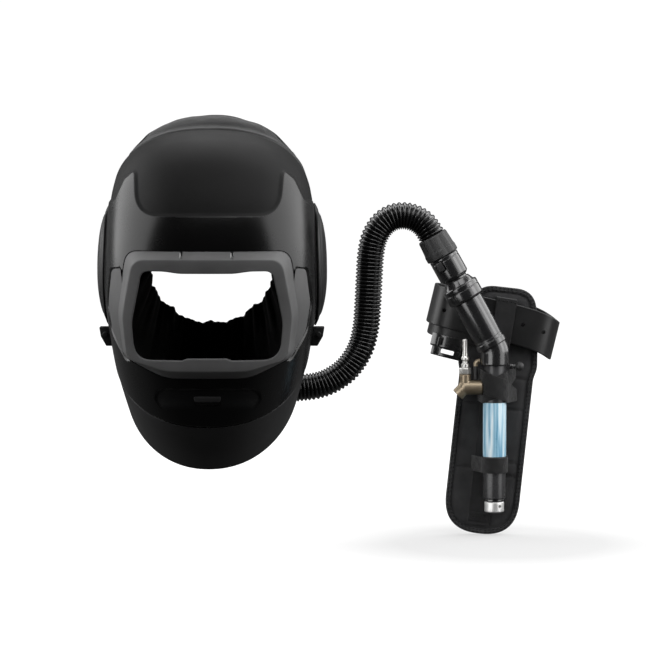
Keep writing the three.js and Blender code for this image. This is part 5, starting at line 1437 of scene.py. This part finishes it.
# Floor and light
floor_z = float(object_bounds()[0][2]) - 0.0003
corners = [(x, y, floor_z) for x, y in ((-40, -40), (40, -40), (40, 60), (-40, 60))]
floor = bpy.data.meshes.new("floor")
floor.from_pydata(corners, [], [[0, 1, 2, 3]])
floor = in_scene("floor", floor)
floor.visible_diffuse = False
floor.visible_glossy = False
floor_material = shader("floor", (0.26, 0.26, 0.26), 0.9, specular=0.0)
n = Nodes(floor_material)
n.bsdf.inputs["Emission Color"].default_value = (1, 1, 1, 1)
# The floor's emission drops within about 0.3 m of the pad's foot. This paints a shade disc round the pad, which
# also lets the pad's cast shadow show.
apart = n.new("ShaderNodeVectorMath", {0: n.place, 1: (0.335, 0.02, floor_z)}, operation="DISTANCE")
n.link(n.ranged(apart.outputs["Value"], 0.6, 1.0, 0.12, 0.32), "Emission Strength")
floor.data.materials.append(floor_material)

target = Vector((0.12, -0.02, -0.25))


def area(name, azimuth, elevation, distance, width, height, power):
    lamp = bpy.data.lights.new(name, "AREA")
    lamp.shape = "RECTANGLE"
    lamp.size, lamp.size_y = width, height
    lamp.energy = power
    obj = in_scene(name, lamp)
    a, e = math.radians(azimuth), math.radians(elevation)
    back = Vector((math.sin(a) * math.cos(e), -math.cos(a) * math.cos(e), math.sin(e)))
    obj.location = target + back * distance
    obj.rotation_euler = (-back).to_track_quat("-Z", "Y").to_euler()
    return obj


area("left softbox", -98, 25, 2.3, 3.2, 2.1, 50)
area("right softbox", 98, 25, 2.3, 3.2, 2.1, 50)
area("top softbox", 172, 62, 2.6, 2.6, 1.6, 40)
area("front softbox", 22, 56, 2.4, 2.2, 1.0, 23)
lit = bpy.data.collections.new("regulator and belt")
for obj in dressed:
    if min(v.co.x for v in obj.data.vertices) > 0.2:
        lit.objects.link(obj)
for word, azimuth, width, power in (("left", -52, 1.3, 18), ("right", 62, 0.9, 9)):
    lamp = area("regulator softbox " + word, azimuth, 12, 1.2, width, 1.6, power)
    lamp.location.x += 0.21
    lamp.light_linking.receiver_collection = lit

world = bpy.data.worlds.new("studio")
bpy.context.scene.world = world
world.use_nodes = True
tree = world.node_tree
tree.nodes.clear()
out = tree.nodes.new("ShaderNodeOutputWorld")
seen = tree.nodes.new("ShaderNodeBackground")
seen.inputs["Color"].default_value = (1, 1, 1, 1)
seen.inputs["Strength"].default_value = 1.05
fill = tree.nodes.new("ShaderNodeBackground")
place = tree.nodes.new("ShaderNodeTexCoord")
split = tree.nodes.new("ShaderNodeSeparateXYZ")
tree.links.new(place.outputs["Generated"], split.inputs[0])
ramp = tree.nodes.new("ShaderNodeMapRange")
ramp.interpolation_type = "SMOOTHSTEP"
for key, value in (("From Min", -0.9), ("From Max", 0.3), ("To Min", 0.03), ("To Max", 0.14)):
    ramp.inputs[key].default_value = value
tree.links.new(split.outputs["Y"], ramp.inputs["Value"])
tree.links.new(ramp.outputs["Result"], fill.inputs["Strength"])
ray = tree.nodes.new("ShaderNodeLightPath")
mix = tree.nodes.new("ShaderNodeMixShader")
tree.links.new(ray.outputs["Is Camera Ray"], mix.inputs["Fac"])
tree.links.new(fill.outputs["Background"], mix.inputs[1])
tree.links.new(seen.outputs["Background"], mix.inputs[2])
tree.links.new(mix.outputs["Shader"], out.inputs["Surface"])
bpy.context.scene.view_settings.view_transform = "Standard"
